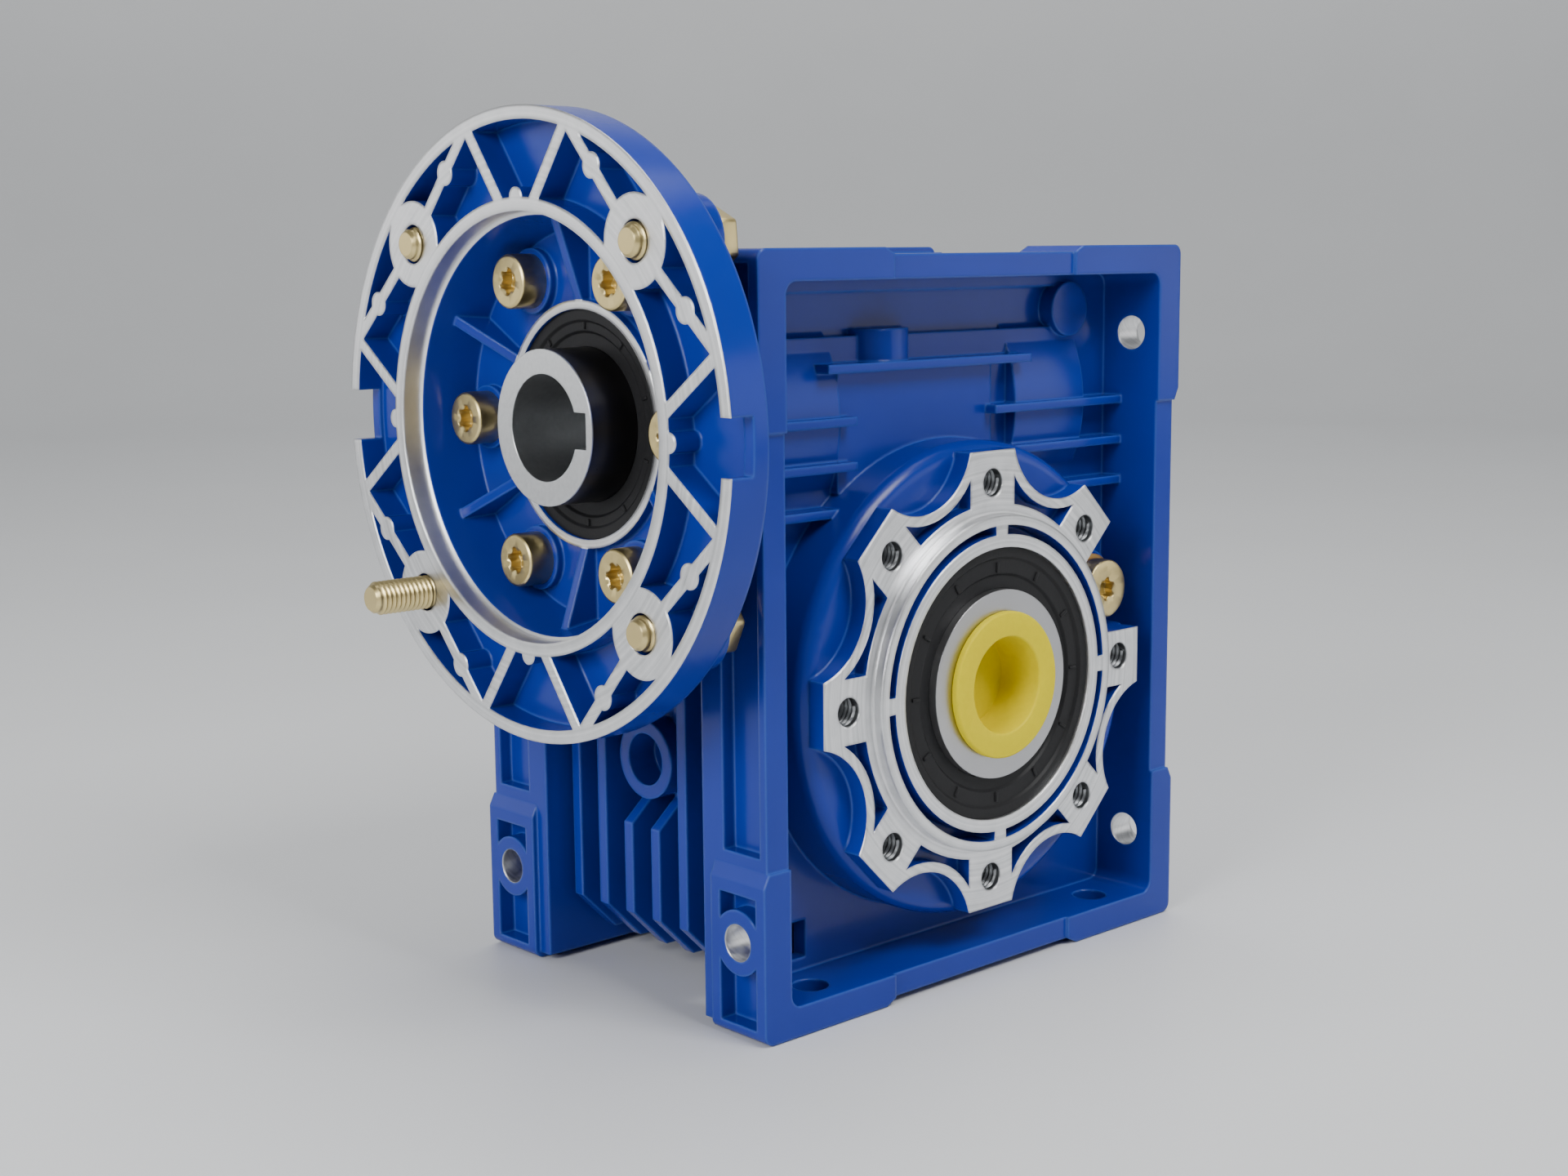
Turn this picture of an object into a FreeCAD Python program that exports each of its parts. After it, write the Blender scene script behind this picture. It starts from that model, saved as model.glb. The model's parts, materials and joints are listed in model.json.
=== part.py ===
import FreeCAD, Part
import math
import os
import re

import Sketcher
from FreeCAD import Placement, Rotation, Vector

# Worm gear reducer with a hollow output shaft and a round motor flange.
# Frame: origin on the output axis at mid depth, +Z up, worm axis along X above the
# output axis, motor flange at -X, output axis along Y. Lengths are in millimetres.

SIZES = {
    # Gear pair
    "centre_distance": 63,
    "gear_module": 3,
    "worm_pitch_diameter": 36,
    "tip_clearance": 0.7,
    "flank_clearance": 0.4,
    "wheel_width": 26,
    "wheel_overhang": 1.5,
    "wheel_rim_bore": 72,
    "thread_turns": 5,
    # Foot frames of the cast housing
    "frame_width": 144,
    "foot_drop": 72,
    "frame_top": 102,
    "frame_depth": 103,
    "rim_width": 18,
    "side_wall": 8,
    "cap_wall": 7,
    "frame_corner": 2.5,
    "face_step": 0.8,
    "pocket_corner": 3,
    "pad_step": 1.5,
    "pad_slope": 3,
    "side_pad": 36,
    "foot_pad": 38,
    "foot_hole": 8.5,
    "top_tap": 6.8,
    "foot_hole_span_x": 100,
    "foot_hole_span_y": 85,
    "side_hole_low": 50,
    "side_hole_high": 80,
    "side_ring": 15,
    "side_recess_depth": 4.5,
    "side_recess_border": 3,
    "channel_depth": 3.5,
    # Webs and cooling fins between the foot frames
    "web_wall": 4,
    "fin_pitch": 10,
    "fin_wall": 3,
    "fin_inset": 7.5,
    "fin_chamfer": 10,
    "fin_relief_width": 24,
    "window_width": 18,
    "window_height": 9,
    "ledge_height": 82,
    "ledge_width": 100,
    "ledge_depth": 2.5,
    "side_boss_drop": 17,
    "side_boss_diameter": 19,
    "side_boss_length": 28.5,
    "side_boss_hole": 12.5,
    "side_boss_hole_depth": 8,
    # Drum and worm tunnel
    "drum_diameter": 114,
    "drum_face": 48,
    "drum_round": 3.5,
    "chamber_diameter": 104,
    "chamber_face": 30,
    "cover_joint": 44,
    "cover_diameter": 124,
    "tunnel_diameter": 60,
    "tunnel_boss_diameter": 74,
    "tunnel_bore": 48,
    "input_boss_length": 38,
    "end_boss_start": 26,
    "end_boss_end": 52,
    "tunnel_flat": 36,
    "tunnel_flat_width": 52,
    "tunnel_flat_below": 16.8,
    "tunnel_flat_above": 11.2,
    "tunnel_rib": 2,
    "tunnel_rib_front": 39.5,
    "tunnel_rib_spacing": 10.3,
    "left_rib_end": 31,
    "right_rib_start": 16,
    "long_rib_height": 11,
    "long_rib_left": 40,
    "long_rib_right": 29,
    "vent_boss_diameter": 18,
    "vent_boss_x": 17,
    "vent_boss_top": 83.5,
    "corner_boss_diameter": 13.5,
    "corner_boss_x": 48,
    "corner_boss_z": 86.3,
    "corner_boss_front": 35.5,
    # Output bolting face, the same on the housing and on the rear cover
    "lug_face": 53,
    "lug_reach": 55,
    "lug_half_width": 7.5,
    "scallop_radius": 17.4,
    "scallop_distance": 64,
    "scallop_rim": 2.5,
    "cell_inner": 42.5,
    "cell_end": 6,
    "cell_depth": 4,
    "output_bolt_circle": 95,
    "output_tap": 6.8,
    "output_tap_depth": 12,
    "spigot_diameter": 80,
    "spigot_face": 56,
    "slot_outer": 75.4,
    "slot_inner": 71,
    "slot_depth": 7,
    "slot_bridge": 3,
    # Output shaft, bearings and seals
    "output_bore": 25,
    "output_key_width": 8,
    "output_key_height": 28.3,
    "plug_relief": 26.5,
    "plug_relief_depth": 14,
    "journal_diameter": 45,
    "shaft_collar": 53,
    "output_bearing_outer": 75,
    "output_bearing_width": 16,
    "output_ball": 9.5,
    "seal_outer": 65,
    "seal_width": 10,
    "seal_recess": 1,
    "seal_wall": 3,
    "seal_dish": 0.6,
    "seal_lip_inset": 1.2,
    "seal_slope": 0.6,
    "press_gap": 0.02,
    "running_gap": 0.05,
    "ball_gap": 0.3,
    "cage_wall": 1.6,
    "over_cut": 1,
    # Rear cover fixing
    "cover_register": 5,
    "cover_hub": 88,
    "cover_bolt_circle": 114,
    "cover_screw": 5,
    "cover_screw_hole": 5.5,
    "cover_screw_head": 8.5,
    "cover_screw_reach": 10,
    "o_ring": 2.4,
    "o_ring_inset": 1,
    # Worm shaft
    "motor_bore": 24,
    "motor_bore_depth": 50,
    "motor_key_width": 8,
    "motor_key_height": 27.3,
    "worm_end_face": 90,
    "worm_journal": 35,
    "worm_collar": 39,
    "worm_collar_length": 16,
    "worm_runout": 5,
    "worm_tail": 20,
    "worm_tail_collar": 27,
    "worm_tail_collar_length": 8,
    "input_bearing_outer": 62,
    "input_bearing_width": 14,
    "input_ball": 7.5,
    "tail_bearing_outer": 47,
    "tail_bearing_width": 14,
    "tail_bearing_start": 44,
    "tail_ball": 7,
    "retaining_ring": 1.2,
    "retaining_groove_depth": 1.2,
    "retaining_ring_width": 3.5,
    "tail_stub": 1.3,
    "cap_width": 5,
    "cap_wall_thickness": 2,
    # Motor flange
    "flange_diameter": 140,
    "flange_face": 96,
    "flange_rim": 3,
    "flange_rim_depth": 10,
    "flange_floor": 3,
    "register_diameter": 95,
    "register_depth": 5,
    "register_rim": 3,
    "register_step": 0.8,
    "bell_floor": 77,
    "bell_floor_radius": 44.5,
    "bell_wall": 3.5,
    "flange_gap": 2,
    "flange_seat_diameter": 82,
    "flange_spigot_length": 5,
    "hub_ring": 56,
    "hub_ring_face": 79.5,
    "input_seal_outer": 52,
    "input_shaft_hole": 38,
    "spoke_width": 2.8,
    "spoke_outer_angle": 15.5,
    "spoke_inner_angle": 6.5,
    "spoke_bump": 5.6,
    "spoke_root": 8,
    "rim_nub": 4.4,
    "motor_bolt_circle": 115,
    "motor_bolt": 8,
    "motor_bolt_hole": 9,
    "motor_lug": 19.8,
    "motor_lug_depth": 16,
    "rim_notch": 12,
    "rim_notch_depth": 6,
    "flange_screw_circle": 74,
    "flange_screw": 6,
    "flange_screw_hole": 6.6,
    "flange_screw_head": 12.5,
    "flange_screw_head_height": 6.5,
    "flange_screw_boss": 2,
    "flange_screw_boss_diameter": 15,
    "flange_screw_reach": 10,
    "bell_rib": 2.4,
    "bell_rib_height": 9,
    # Motor bolts
    "hex_across_flats": 13,
    "hex_height": 5.3,
    "hex_turn": 20,
    "washer_diameter": 16,
    "washer_hole": 8.6,
    "washer_thickness": 1.6,
    "bolt_proud": 2,
    "long_bolt_extra": 13,
    # Oil plug and shaft plug
    "oil_plug_x": 50.2,
    "oil_plug_z": 16,
    "oil_lug_half_width": 6.5,
    "oil_plug_seat": 40,
    "oil_plug_boss": 19,
    "oil_plug_thread": 10,
    "oil_plug_head": 15,
    "oil_plug_head_height": 5.5,
    "oil_plug_length": 10,
    "oil_washer_diameter": 17,
    "oil_washer_thickness": 1.5,
    "plug_rim": 35,
    "plug_rim_thickness": 2,
    "plug_cup": 23,
    "plug_bottom": 2,
    "plug_length": 12,
}

WHEEL_TEETH = 30
PRESSURE_ANGLE = 20
DEDENDUM = 1.2
OUTPUT_LUGS = 8
FLANGE_SCREWS = 6
MOTOR_BOLTS = 4
FIN_COUNT = 6
LAND_SHARE = 0.3
CAGE_SHARE = 1.2

doc = FreeCAD.newDocument("worm_reducer")
sheet = doc.addObject("Spreadsheet::Sheet", "sizes")
for row, (name, size) in enumerate(SIZES.items(), start=1):
    sheet.set(f"A{row}", name)
    sheet.set(f"B{row}", str(size))
    sheet.setAlias(f"B{row}", name)
doc.recompute()

pieces = []


# Expressions, sketches and features

def bound(text):
    """The text as an expression on the sheet: each word that is an alias becomes its cell."""
    return re.sub(r"[a-z_]+", lambda word: f"sizes.{word[0]}" if word[0] in SIZES else word[0], str(text))


def number(text):
    """The value of such an expression now."""
    return float(sheet.evalExpression(bound(text)))


def turned(along, across, angle):
    """The sketch point at (along, across) in axes turned by an angle in degrees."""
    return (
        f"({along}) * cos({angle}) - ({across}) * sin({angle})",
        f"({along}) * sin({angle}) + ({across}) * cos({angle})",
    )


def new_body(label, on_worm_axis=False):
    body = doc.addObject("PartDesign::Body", label)
    body.Label = label
    body.AllowCompound = True
    if on_worm_axis:
        body.setExpression("Placement.Base.z", bound("centre_distance"))
    pieces.append(body)
    return body


def place_on_axis(piece, on_worm_axis, position):
    """Seat a piece made about its own Y axis on the output axis, or turned onto the worm axis."""
    if on_worm_axis:
        piece.Placement = Placement(Vector(), Rotation(Vector(0, 0, 1), -90))
        piece.setExpression("Placement.Base.x", bound(position))
        piece.setExpression("Placement.Base.z", bound("centre_distance"))
    else:
        piece.setExpression("Placement.Base.y", bound(position))


def new_sketch(body, role, offset="0"):
    sketch = body.newObject("Sketcher::SketchObject", f"{body.Label}_sketch")
    plane = next(item for item in body.Origin.OriginFeatures if item.Role == role)
    sketch.AttachmentSupport = [(plane, "")]
    sketch.MapMode = "FlatFace"
    sketch.setExpression("AttachmentOffset.Base.z", bound(offset))
    return sketch


def bind(sketch, constraints):
    """Add constraints given as (constraint, expression) and tie each datum to its expression."""
    indices = sketch.addConstraint([constraint for constraint, _ in constraints])
    for index, (_, expression) in zip(indices, constraints):
        if expression is not None:
            sketch.setExpression(f"Constraints[{index}]", bound(expression))


def pin_point(geometry, vertex, x, y):
    """The two constraints that hold a vertex at x, y from the sketch's origin."""
    return [
        (Sketcher.Constraint("DistanceX", -1, 1, geometry, vertex, number(x)), x),
        (Sketcher.Constraint("DistanceY", -1, 1, geometry, vertex, number(y)), y),
    ]


def arc_between(start, end, radius, clockwise):
    """The shorter arc of a radius from start to end."""
    chord = end - start
    left = Vector(-chord.y, chord.x, 0).normalize()
    if clockwise:
        left = -left
    sagitta = radius - math.sqrt(radius ** 2 - (chord.Length / 2) ** 2)
    return Part.Arc(start, (start + end) * 0.5 - left * sagitta, end)


def outline(sketch, corners):
    """A closed line through (x, y) corners; (x, y, radius, turn) ends an arc, turn "cw" or "ccw"."""
    first = sketch.GeometryCount
    points = [Vector(number(corner[0]), number(corner[1]), 0) for corner in corners]
    ends = []
    constraints = []
    for index, corner in enumerate(corners):
        start, end = points[index - 1], points[index]
        if len(corner) == 2:
            sketch.addGeometry(Part.LineSegment(start, end))
            ends.append((1, 2))
        else:
            clockwise = corner[3] == "cw"
            sketch.addGeometry(arc_between(start, end, number(corner[2]), clockwise))
            ends.append((2, 1) if clockwise else (1, 2))
    for index, corner in enumerate(corners):
        after = (index + 1) % len(corners)
        joint = Sketcher.Constraint("Coincident", first + index, ends[index][1], first + after, ends[after][0])
        constraints.append((joint, None))
        constraints += pin_point(first + index, ends[index][1], corner[0], corner[1])
        if len(corner) > 2:
            constraints.append((Sketcher.Constraint("Radius", first + index, number(corner[2])), corner[2]))
    bind(sketch, constraints)


def rectangle(sketch, left, bottom, right, top):
    outline(sketch, [(left, bottom), (right, bottom), (right, top), (left, top)])


def rounded_rectangle(sketch, left, bottom, right, top, radius):
    outline(sketch, [
        (f"{left} + {radius}", bottom, radius, "ccw"),
        (f"{right} - {radius}", bottom),
        (right, f"{bottom} + {radius}", radius, "ccw"),
        (right, f"{top} - {radius}"),
        (f"{right} - {radius}", top, radius, "ccw"),
        (f"{left} + {radius}", top),
        (left, f"{top} - {radius}", radius, "ccw"),
        (left, f"{bottom} + {radius}"),
    ])


def circle(sketch, x, y, radius):
    centre = Vector(number(x), number(y), 0)
    index = sketch.addGeometry(Part.Circle(centre, Vector(0, 0, 1), number(radius)))
    size = (Sketcher.Constraint("Radius", index, number(radius)), radius)
    bind(sketch, [size] + pin_point(index, 3, x, y))


def ring_of_circles(sketch, count, distance, radius, first_angle=0):
    for step in range(count):
        circle(sketch, *turned(distance, 0, first_angle + 360 * step / count), radius)


def pad(body, sketch, length, reverse=False):
    feature = body.newObject("PartDesign::Pad", f"{body.Label}_pad")
    feature.Profile = sketch
    feature.setExpression("Length", bound(length))
    feature.Reversed = reverse
    return feature


def pocket(body, sketch, depth, reverse=False):
    feature = body.newObject("PartDesign::Pocket", f"{body.Label}_pocket")
    feature.Profile = sketch
    feature.setExpression("Length", bound(depth))
    feature.Reversed = reverse
    return feature


def turn_profile(body, sketch, kind="Revolution", axis="V_Axis"):
    feature = body.newObject(f"PartDesign::{kind}", f"{body.Label}_{kind.lower()}")
    feature.Profile = sketch
    feature.ReferenceAxis = (sketch, [axis])
    return feature


def repeat_around(body, feature, sketch, count):
    pattern = body.newObject("PartDesign::PolarPattern", f"{body.Label}_pattern")
    pattern.Originals = [feature]
    pattern.Axis = (sketch, ["N_Axis"])
    pattern.Angle = 360
    pattern.Occurrences = count
    body.Tip = pattern


def mirror_front_to_rear(body, features):
    mirrored = body.newObject("PartDesign::Mirrored", f"{body.Label}_mirror")
    plane = next(item for item in body.Origin.OriginFeatures if item.Role == "XZ_Plane")
    mirrored.Originals = features
    mirrored.MirrorPlane = (plane, [""])
    body.Tip = mirrored


def round_circle(body, radius, circle_radius, centre):
    """Round the circular edges of the shape so far that have this radius and centre."""
    doc.recompute()
    base = body.Tip
    names = []
    for index, edge in enumerate(base.Shape.Edges, start=1):
        if isinstance(edge.Curve, Part.Circle):
            off = (edge.Curve.Center - centre).Length + abs(edge.Curve.Radius - circle_radius)
            if off < 0.01:
                names.append(f"Edge{index}")
    feature = body.newObject("PartDesign::Fillet", f"{body.Label}_round")
    feature.Base = (base, names)
    feature.setExpression("Radius", bound(radius))


# Bolting face on one end of the output axis: eight lugs, spigot, seal ring and tapped holes

def add_output_face(body, rear):
    side = "-1 * " if rear else ""
    lug_step = 360 / OUTPUT_LUGS
    half_step = lug_step / 2
    plate = new_sketch(body, "XZ_Plane", f"{side}drum_face")
    corner = f"lug_reach / cos({half_step})"
    outline(plate, [turned(corner, 0, half_step + lug_step * step) for step in range(OUTPUT_LUGS)])
    pad(body, plate, "lug_face - drum_face", rear)
    scallops = new_sketch(body, "XZ_Plane", f"{side}lug_face")
    ring_of_circles(scallops, OUTPUT_LUGS, "scallop_distance", "scallop_radius", half_step)
    pocket(body, scallops, "lug_face - drum_face", rear)
    disc = new_sketch(body, "XZ_Plane", f"{side}drum_face")
    circle(disc, 0, 0, "spigot_diameter / 2")
    pad(body, disc, "spigot_face - drum_face", rear)
    cells = new_sketch(body, "XZ_Plane", f"{side}lug_face")
    inner_along = "sqrt(cell_inner ^ 2 - lug_half_width ^ 2)"
    outer_along = "lug_reach - cell_end"
    for step in range(OUTPUT_LUGS):
        before = lug_step * step
        after = before + lug_step
        outline(cells, [
            turned(inner_along, "lug_half_width", before),
            (*turned(inner_along, "-1 * lug_half_width", after), "cell_inner", "ccw"),
            turned(outer_along, "-1 * lug_half_width", after),
            (*turned(outer_along, "lug_half_width", before), "scallop_radius + scallop_rim", "ccw"),
        ])
    pocket(body, cells, "cell_depth", rear)
    slots = new_sketch(body, "XZ_Plane", f"{side}spigot_face")
    for quarter in range(4):
        low = f"{90 * quarter} + slot_bridge"
        high = f"{90 * quarter + 90} - slot_bridge"
        outline(slots, [
            (*turned("slot_inner / 2", 0, low), "slot_inner / 2", "cw"),
            turned("slot_outer / 2", 0, low),
            (*turned("slot_outer / 2", 0, high), "slot_outer / 2", "ccw"),
            turned("slot_inner / 2", 0, high),
        ])
    pocket(body, slots, "slot_depth", rear)
    taps = new_sketch(body, "XZ_Plane", f"{side}lug_face")
    ring_of_circles(taps, OUTPUT_LUGS, "output_bolt_circle / 2", "output_tap / 2")
    pocket(body, taps, "output_tap_depth", rear)


# Places that several pieces share

SIDE = "(frame_width / 2)"
RIM_BACK = "(frame_depth / 2 - rim_width)"
INNER_SIDE = "(frame_width / 2 - side_wall)"
INNER_TOP = "(frame_top - cap_wall)"
INNER_FLOOR = "(-1 * foot_drop + cap_wall)"
FIN_SIDE = "(frame_width / 2 - fin_inset)"
LOW_PAD = "(-1 * foot_drop + side_pad)"
HIGH_PAD = "(frame_top - side_pad)"
BEARING_FACE = "(spigot_face - seal_width - 2 * seal_recess)"
BEARING_MIDDLE = f"({BEARING_FACE} - output_bearing_width / 2)"
INPUT_BEARING_FACE = f"({SIDE} - flange_spigot_length)"
TAIL_BEARING_END = "(tail_bearing_start + tail_bearing_width)"
SCREW_SEAT = "(bell_floor + flange_screw_boss)"
LUG_BACK = "(flange_face - motor_lug_depth)"
HEX_SEAT = f"({LUG_BACK} - washer_thickness)"


# Cast housing: two foot frames, webs, fins, drum and worm tunnel in one piece

def frame_corners():
    """The stepped outside of a foot frame: four corner pads stand proud of its sides."""
    step_x = f"({SIDE} - pad_step)"
    pad_end = f"({SIDE} - foot_pad)"
    corner_x = f"({SIDE} - frame_corner)"
    right = [
        (f"{pad_end} - pad_slope", "-1 * foot_drop + pad_step"),
        (pad_end, "-1 * foot_drop"),
        (corner_x, "-1 * foot_drop"),
        (SIDE, "-1 * foot_drop + frame_corner"),
        (SIDE, LOW_PAD),
        (step_x, f"{LOW_PAD} + pad_slope"),
        (step_x, f"{HIGH_PAD} - pad_slope"),
        (SIDE, HIGH_PAD),
        (SIDE, "frame_top - frame_corner"),
        (corner_x, "frame_top"),
        (pad_end, "frame_top"),
        (f"{pad_end} - pad_slope", "frame_top - pad_step"),
    ]
    left = [(f"-1 * ({x})", z) for x, z in reversed(right)]
    rounded = (right[3], right[9], left[3], left[9])
    return [(*corner, "frame_corner", "ccw") if corner in rounded else corner for corner in right + left]


housing = new_body("housing")

drum = new_sketch(housing, "XZ_Plane", "drum_face")
circle(drum, 0, 0, "drum_diameter / 2")
pad(housing, drum, "drum_face + cover_joint", reverse=True)
round_circle(housing, "drum_round", number("drum_diameter / 2"), Vector(0, -number("drum_face"), 0))
add_output_face(housing, rear=False)

# One gap between the lugs is cut away down to the seat of the oil plug
plug_gap = new_sketch(housing, "XZ_Plane", "lug_face")
gap_inner = "sqrt(cell_inner ^ 2 - oil_lug_half_width ^ 2)"
gap_outer = "cover_diameter / 2"
next_lug = 360 / OUTPUT_LUGS
outline(plug_gap, [
    (*turned(gap_inner, "oil_lug_half_width", 0), "cell_inner", "cw"),
    turned(gap_outer, "oil_lug_half_width", 0),
    turned(gap_outer, "-1 * oil_lug_half_width", next_lug),
    turned(gap_inner, "-1 * oil_lug_half_width", next_lug),
])
pocket(housing, plug_gap, "lug_face - oil_plug_seat")

frame = new_sketch(housing, "XZ_Plane", RIM_BACK)
outline(frame, frame_corners())
rounded_rectangle(frame, f"-1 * {INNER_SIDE}", INNER_FLOOR, INNER_SIDE, INNER_TOP, "pocket_corner")
frame_pad = pad(housing, frame, "rim_width")

web = new_sketch(housing, "XZ_Plane", RIM_BACK)
web_side = f"({SIDE} - pad_step)"
rectangle(web, f"-1 * {web_side}", "-1 * foot_drop + pad_step", web_side, "frame_top - pad_step")
web_pad = pad(housing, web, "web_wall", reverse=True)
mirror_front_to_rear(housing, [frame_pad, web_pad])

# The corner pads also stand proud of the front and rear of the frames
bar_end = f"({SIDE} - foot_pad - pad_slope)"
bar_low = f"{LOW_PAD} + pad_slope"
bar_high = f"{HIGH_PAD} - pad_slope"
bar_inside = f"({INNER_SIDE} - pocket_corner)"
bar_outside = f"({SIDE} + over_cut)"
for place, rear in (("frame_depth / 2", False), ("-1 * frame_depth / 2", True)):
    bars = new_sketch(housing, "XZ_Plane", place)
    rectangle(bars, f"-1 * {bar_end}", f"{INNER_TOP} - pocket_corner", bar_end, "frame_top + over_cut")
    rectangle(bars, f"-1 * {bar_end}", "-1 * foot_drop - over_cut", bar_end, f"{INNER_FLOOR} + pocket_corner")
    rectangle(bars, bar_inside, bar_low, bar_outside, bar_high)
    rectangle(bars, f"-1 * {bar_outside}", bar_low, f"-1 * {bar_inside}", bar_high)
    pocket(housing, bars, "face_step", rear)

# The front web has a window low on the motor side and a recess above the ledge
window = new_sketch(housing, "XZ_Plane", RIM_BACK)
window_left = f"-1 * {INNER_SIDE} + pocket_corner"
window_low = f"{INNER_FLOOR} + pocket_corner"
rectangle(window, window_left, window_low, f"{window_left} + window_width", f"{window_low} + window_height")
pocket(housing, window, "web_wall")
ledge = new_sketch(housing, "XZ_Plane", RIM_BACK)
rectangle(ledge, "-1 * ledge_width / 2", "ledge_height", "ledge_width / 2", f"{INNER_TOP} - pocket_corner")
pocket(housing, ledge, "ledge_depth")

cover_seat = new_sketch(housing, "XZ_Plane", "-1 * cover_joint")
circle(cover_seat, 0, 0, "cover_diameter / 2")
pad(housing, cover_seat, f"cover_joint - {RIM_BACK} + web_wall")

tunnel_stretches = [
    (f"-1 * {SIDE}", "tunnel_diameter / 2", f"{SIDE} + {FIN_SIDE}"),
    (f"-1 * {SIDE} + side_wall / 2", "tunnel_boss_diameter / 2", "input_boss_length - side_wall / 2"),
    ("end_boss_start", "tunnel_boss_diameter / 2", "end_boss_end - end_boss_start"),
]
for start, radius, length in tunnel_stretches:
    tunnel = new_sketch(housing, "YZ_Plane", start)
    circle(tunnel, 0, "centre_distance", radius)
    pad(housing, tunnel, length)

flange_seat = new_sketch(housing, "YZ_Plane", f"-1 * {SIDE}")
seat_radius = "flange_seat_diameter / 2"
seat_top = "(frame_top - pad_step)"
seat_half = f"sqrt(({seat_radius}) ^ 2 - ({seat_top} - centre_distance) ^ 2)"
outline(flange_seat, [
    (f"-1 * {seat_half}", seat_top),
    (0, f"centre_distance - {seat_radius}", seat_radius, "ccw"),
    (seat_half, seat_top, seat_radius, "ccw"),
])
pad(housing, flange_seat, "side_wall")

tunnel_flat = new_sketch(housing, "XZ_Plane", "tunnel_flat")
flat_left = f"(-1 * {SIDE} + input_boss_length)"
rectangle(tunnel_flat, flat_left, "centre_distance - tunnel_flat_below", f"{flat_left} + tunnel_flat_width",
          "centre_distance + tunnel_flat_above")
pad(housing, tunnel_flat, f"tunnel_flat - {RIM_BACK} + web_wall", reverse=True)

tunnel_ribs = new_sketch(housing, "XZ_Plane", "tunnel_rib_front")
for level in range(3):
    rib_low = f"(centre_distance - {level} * tunnel_rib_spacing - tunnel_rib / 2)"
    rectangle(tunnel_ribs, f"-1 * {INNER_SIDE}", rib_low, "-1 * left_rib_end", f"{rib_low} + tunnel_rib")
    rectangle(tunnel_ribs, "right_rib_start", rib_low, INNER_SIDE, f"{rib_low} + tunnel_rib")
long_rib_low = "(centre_distance + long_rib_height)"
rectangle(tunnel_ribs, "-1 * long_rib_left", long_rib_low, "long_rib_right", f"{long_rib_low} + tunnel_rib")
pad(housing, tunnel_ribs, f"tunnel_rib_front - {RIM_BACK} + web_wall", reverse=True)

vent_boss_foot = f"({long_rib_low} + tunnel_rib)"
vent_boss = new_sketch(housing, "XY_Plane", vent_boss_foot)
circle(vent_boss, "-1 * vent_boss_x", f"-1 * {RIM_BACK} + web_wall", "vent_boss_diameter / 2")
pad(housing, vent_boss, f"vent_boss_top - {vent_boss_foot}")
corner_boss = new_sketch(housing, "XZ_Plane", "corner_boss_front")
circle(corner_boss, "corner_boss_x", "corner_boss_z", "corner_boss_diameter / 2")
pad(housing, corner_boss, f"corner_boss_front - {RIM_BACK} + web_wall", reverse=True)
plug_boss = new_sketch(housing, "XZ_Plane", "oil_plug_seat")
circle(plug_boss, "oil_plug_x", "oil_plug_z", "oil_plug_boss / 2")
pad(housing, plug_boss, f"oil_plug_seat - {RIM_BACK} + web_wall", reverse=True)

# Foot holes, tapped holes in the top, and a hole in a ring boss with two recesses on each side pad
for height, hole, upward in (("-1 * foot_drop", "foot_hole", True), ("frame_top", "top_tap", False)):
    feet = new_sketch(housing, "XY_Plane", height)
    for hole_x in ("foot_hole_span_x / 2", "-1 * foot_hole_span_x / 2"):
        for hole_y in ("foot_hole_span_y / 2", "-1 * foot_hole_span_y / 2"):
            circle(feet, hole_x, hole_y, f"{hole} / 2")
    pocket(housing, feet, "cap_wall + pad_step", reverse=upward)

recess_half = "(rim_width / 2 - side_recess_border)"
ring_reach = f"sqrt((side_ring / 2) ^ 2 - {recess_half} ^ 2)"
for wall, inward in ((f"-1 * {SIDE}", True), (SIDE, False)):
    holes = new_sketch(housing, "YZ_Plane", wall)
    recesses = new_sketch(housing, "YZ_Plane", wall)
    channels = new_sketch(housing, "YZ_Plane", wall)
    for middle in ("(foot_hole_span_y / 2)", "(-1 * foot_hole_span_y / 2)"):
        left = f"{middle} - {recess_half}"
        right = f"{middle} + {recess_half}"
        pads = [
            ("(-1 * side_hole_low)", "-1 * foot_drop + side_recess_border", f"{LOW_PAD} - side_recess_border"),
            ("side_hole_high", f"{HIGH_PAD} + side_recess_border", "frame_top - side_recess_border"),
        ]
        for hole_z, low, high in pads:
            circle(holes, middle, hole_z, "foot_hole / 2")
            outline(recesses, [
                (left, low),
                (right, low),
                (right, f"{hole_z} - {ring_reach}"),
                (left, f"{hole_z} - {ring_reach}", "side_ring / 2", "cw"),
            ])
            outline(recesses, [
                (left, high),
                (left, f"{hole_z} + {ring_reach}"),
                (right, f"{hole_z} + {ring_reach}", "side_ring / 2", "cw"),
                (right, high),
            ])
        rectangle(channels, left, f"{LOW_PAD} + 2 * pad_slope", right, f"{HIGH_PAD} - 2 * pad_slope")
    pocket(housing, recesses, "side_recess_depth", reverse=inward)
    pocket(housing, channels, "pad_step + channel_depth", reverse=inward)
    pocket(housing, holes, "side_wall + pad_step", reverse=inward)

cover_taps = new_sketch(housing, "XZ_Plane", "-1 * cover_joint")
half_lug = 180 / OUTPUT_LUGS
ring_of_circles(cover_taps, OUTPUT_LUGS, "cover_bolt_circle / 2", "cover_screw / 2 + running_gap", half_lug)
pocket(housing, cover_taps, "cover_screw_reach + cover_screw / 2", reverse=True)
oil_hole = new_sketch(housing, "XZ_Plane", "oil_plug_seat")
circle(oil_hole, "oil_plug_x", "oil_plug_z", "oil_plug_thread / 2 + running_gap")
pocket(housing, oil_hole, "oil_plug_length + over_cut")

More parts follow.
